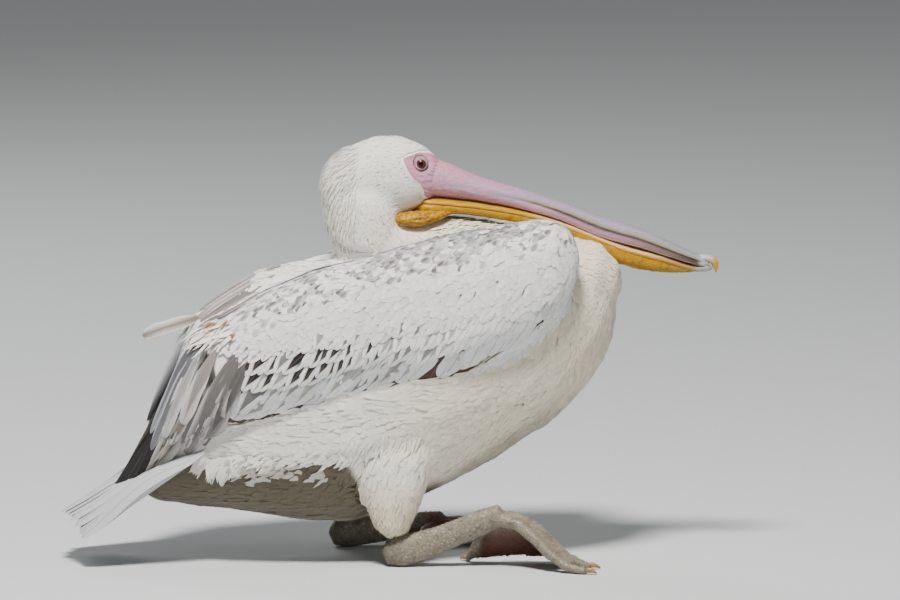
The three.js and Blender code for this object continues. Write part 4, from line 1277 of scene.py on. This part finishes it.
tuft("belly_tufts", joined([laid(belly, sign, (-0.9, 0.0, -0.25), 0.14, 17, (0.7, 1.3)) for sign in (-1, 1)]),
     4.2, (-0.4, 2.4),
     lambda p, a, b: blend(np.broadcast_to(BELLY_STAIN_AND_SHADE, p.shape), WHITE, np.full(p.shape[:2], 0.6)))

# The flank's feathers that fall over the top of the thigh.
over = all_of(kinds == "trunk", aside > 52, between(at_x, -62, 52), between(at_z, 112, 176))
over &= draw.random(len(at)) < 0.6
tuft("thigh_cover", from_roots(over, 27, (-0.38, 0, -0.92)), 3.8, (-0.3, 1.6), soft_tint)

# Trousers: the thigh's loose fringe over the heel.
tuft("thigh_trousers", from_roots((kinds == "thigh") & (at_z < 92), 15), 1.7, (-0.3, 2.2), thigh_tint)

# Rump plumes, some with orange-brown bases, behind the ends of the scapulars.
RUMP = [(-205, 304), (-212, 296), (-218, 288), (-226, 294), (-200, 292)]
RUST = linear("#8a5a30")
plumes = [laid(shifted(RUMP, 9, 5), sign, (-0.8, 0.0, -0.6), 0.2, 34, (0.7, 1.3), 5, whole_surface)
          for sign in (-1, 1)]
tuft("rump_plumes", joined(plumes), 3.4, (0.5, 6.0),
     lambda p, a, b: blend(np.broadcast_to(WHITE, p.shape), RUST,
                           (draw.random(len(p)) < 0.3)[:, None] * ramp(b, 0.75, 0.3)[None, :]), 0.005)

# One long feather that sticks out behind the rump, upright on its edge, grey-brown with white
# edges.
LOOSE_LINE = [(-228, -19, 300.5), (-240, -20.5, 297.5), (-252, -22.3, 294.5), (-264, -24, 291),
              (-277, -25.3, 287.5), (-290, -26.7, 283), (-303, -28, 278)]
GREY_BROWN = linear("#8f857c")
loose = feathers("loose_feather", long_vane, np.array([LOOSE_LINE]) * MM,
                 np.tile([0.0, -1.0, 0.0], (1, len(LOOSE_LINE), 1)), np.array([8.5 * MM]), np.zeros((1, 2)),
                 lambda p, a, b: blend(np.broadcast_to(GREY_BROWN, p.shape), WHITE,
                                       ramp(np.abs(a), 0.25, 0.7)[None]), vane_material, 0.05, 0.016)
set_mark(loose, np.zeros(1))
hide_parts("rump_feather")

# ---------------------------------------------------------------- leg scales
# The net of small horny scales on tarsi, joints and toes: flat six-sided bosses of keratin a
# few millimetres across, set in the leg's skin and smaller towards the claws.
SCALE_GAP = 4.1 * MM
TOES_FROM = 0.115  # metres ahead, where the scales are smaller
leg_normals = normals(leg_mesh)
leg_tree = KDTree(len(leg_points))
for i, point in enumerate(leg_points):
    leg_tree.insert(point, i)
leg_tree.balance()
free = leg_points[:, 2] > 2.2 * MM
scale_at = []
for i in draw.permutation(len(leg_points)):
    if free[i]:
        scale_at.append(i)
        fine = 0.6 if leg_points[i, 0] > TOES_FROM else 1.0
        for _, other, _ in leg_tree.find_range(leg_points[i], SCALE_GAP * fine):
            free[other] = False
scale_at = np.array(scale_at)
bm = bmesh.new()
bmesh.ops.create_cone(bm, segments=6, radius1=0.54, radius2=0.42, depth=0.3, cap_ends=True)
bmesh.ops.triangulate(bm, faces=bm.faces)
boss = np.array([v.co for v in bm.verts])
boss_faces = np.array([[v.index for v in f.verts] for f in bm.faces])
bm.free()
up = leg_normals[scale_at]
side = np.cross(up, [0.31, 0.2, 0.93])
side /= np.linalg.norm(side, axis=1, keepdims=True)
ahead = np.cross(up, side)
wide = SCALE_GAP * np.where(leg_points[scale_at, 0] > TOES_FROM, 0.64, 1.08)
wide = (wide * draw.uniform(0.85, 1.1, len(wide)))[:, None, None]
flat = boss[None, :, :1] * side[:, None] + boss[None, :, 1:2] * ahead[:, None]
proud = boss[None, :, 2:] * 1.6 * MM + 0.04 * MM
scale_points = leg_points[scale_at][:, None] + wide * flat + proud * up[:, None]
scale_mesh = bpy.data.meshes.new("leg_scales")
scale_corners = (boss_faces[None] + (np.arange(len(scale_at)) * len(boss))[:, None, None]).reshape(-1, 3)
scale_mesh.from_pydata(scale_points.reshape(-1, 3).tolist(), [], scale_corners.tolist())
tone = np.repeat(draw.normal(1.05, 0.08, len(scale_at)), len(boss))[:, None]
set_tint(scale_mesh, leg_tint(scale_points.reshape(-1, 3) / MM) * tone)
home = np.array([bake_map[skin_surface.find_nearest(leg_points[i])[2]] for i in scale_at])
spots = home[:, None] + 0.003 * boss[None, :, :2]
scale_mesh.uv_layers.new(name="OFBake").uv.foreach_set(
    "vector", spots.reshape(-1, 2)[scale_corners.ravel()].ravel())
# Scale: thin dull horn.
scale_material, tree, shader = nodes_of("leg scale", 0.45, Specular_IOR_Level=0.45)
add(tree, "ShaderNodeVertexColor", (), [("Color", shader.inputs["Base Color"])], layer_name="tint")
scales = shown("leg_scales", scale_mesh, scale_material)
scale_mesh.polygons.foreach_set("use_smooth", np.zeros(len(scale_mesh.polygons), bool))
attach(scales, "root")

# ---------------------------------------------------------------- claws
# Four ochre claws on each foot: short blunt hooks that sheathe the toes' last bones.
# Claw: hard horn with a slight shine, browner in some places than in others.
claw_material, tree, shader = nodes_of("claw horn", 0.35, Specular_IOR_Level=0.5, Coat_Weight=0.2)
where = add(tree, "ShaderNodeTexCoord")
grain = add(tree, "ShaderNodeTexNoise", {"Vector": where.outputs["Object"]}, Scale=260.0, Detail=2.0)
ochre = add(tree, "ShaderNodeValToRGB", {"Fac": grain.outputs["Fac"]}, [("Color", shader.inputs["Base Color"])])
set_stops(ochre, ((0.3, "#604622"), (0.7, "#a08046")))
for side_name in ("right", "left"):
    names = [f"claw_{side_name}_{toe}" for toe in ("outer", "middle", "inner", "hind")]
    bm = merged(names)
    bmesh.ops.subdivide_edges(bm, edges=bm.edges, cuts=1, smooth=0.6, use_grid_fill=True)
    bmesh.ops.triangulate(bm, faces=bm.faces)
    claws = shown("claws_" + side_name, bm, claw_material)
    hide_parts(*names)
    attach(claws, "root")

# ---------------------------------------------------------------- stage
# What the bird is shown in, not part of it: a pale matt floor it rests on, three soft lamps in
# a light room, and the camera on its right side.
floor_bm = bmesh.new()
bmesh.ops.create_grid(floor_bm, x_segments=1, y_segments=1, size=14)
floor_paint, tree, shader = nodes_of("matt studio floor", 0.9)
shader.inputs["Base Color"].default_value = (*linear("#c9ccce"), 1)
floor = shown("floor", floor_bm, floor_paint)

AZIMUTH, ELEVATION = math.radians(-4), math.radians(8)
CAMERA_AWAY = 12.0
FRAME_WIDTH = 1098 * MM
AIM_ASIDE, AIM_UP = 72.59 * MM, 312.32 * MM  # the frame's middle, from the origin
level = math.cos(ELEVATION)
back = Vector((math.sin(AZIMUTH) * level, -math.cos(AZIMUTH) * level, math.sin(ELEVATION)))
right = Vector((math.cos(AZIMUTH), math.sin(AZIMUTH), 0))
up = back.cross(right)
aim = right * AIM_ASIDE + up * AIM_UP
camera = bpy.data.objects.new("camera", bpy.data.cameras.new("camera"))
SENSOR_WIDTH = 36
camera.data.sensor_width = SENSOR_WIDTH
camera.data.lens = SENSOR_WIDTH * CAMERA_AWAY / FRAME_WIDTH
camera.data.clip_end = 60
camera.matrix_world = Matrix((*zip(right, up, back, aim + back * CAMERA_AWAY), (0, 0, 0, 1)))
bpy.context.scene.collection.objects.link(camera)
bpy.context.scene.camera = camera


def lamp(name, place, size, watts, colour):
    """A round soft lamp that shines at the bird's middle."""
    light = bpy.data.lights.new(name, "AREA")
    light.shape = "DISK"
    light.size = size
    light.energy = watts
    light.color = colour
    lit = bpy.data.objects.new(name, light)
    lit.location = place
    lit.rotation_euler = (Vector((0, 0, 0.25)) - Vector(place)).to_track_quat("-Z", "Y").to_euler()
    bpy.context.scene.collection.objects.link(lit)


lamp("key lamp", (-0.5, -1.9, 3.8), 0.9, 345, (1, 0.97, 0.93))
lamp("fill lamp", (3.2, -2.6, 1.4), 2.5, 16, (0.92, 0.96, 1))
lamp("rear lamp", (-1.5, 3.0, 2.6), 2.0, 50, (1, 1, 1))
world = bpy.data.worlds.new("studio")
world.use_nodes = True
world.node_tree.nodes["Background"].inputs["Color"].default_value = (*linear("#e6e8ea"), 1)
world.node_tree.nodes["Background"].inputs["Strength"].default_value = 0.2
bpy.context.scene.world = world
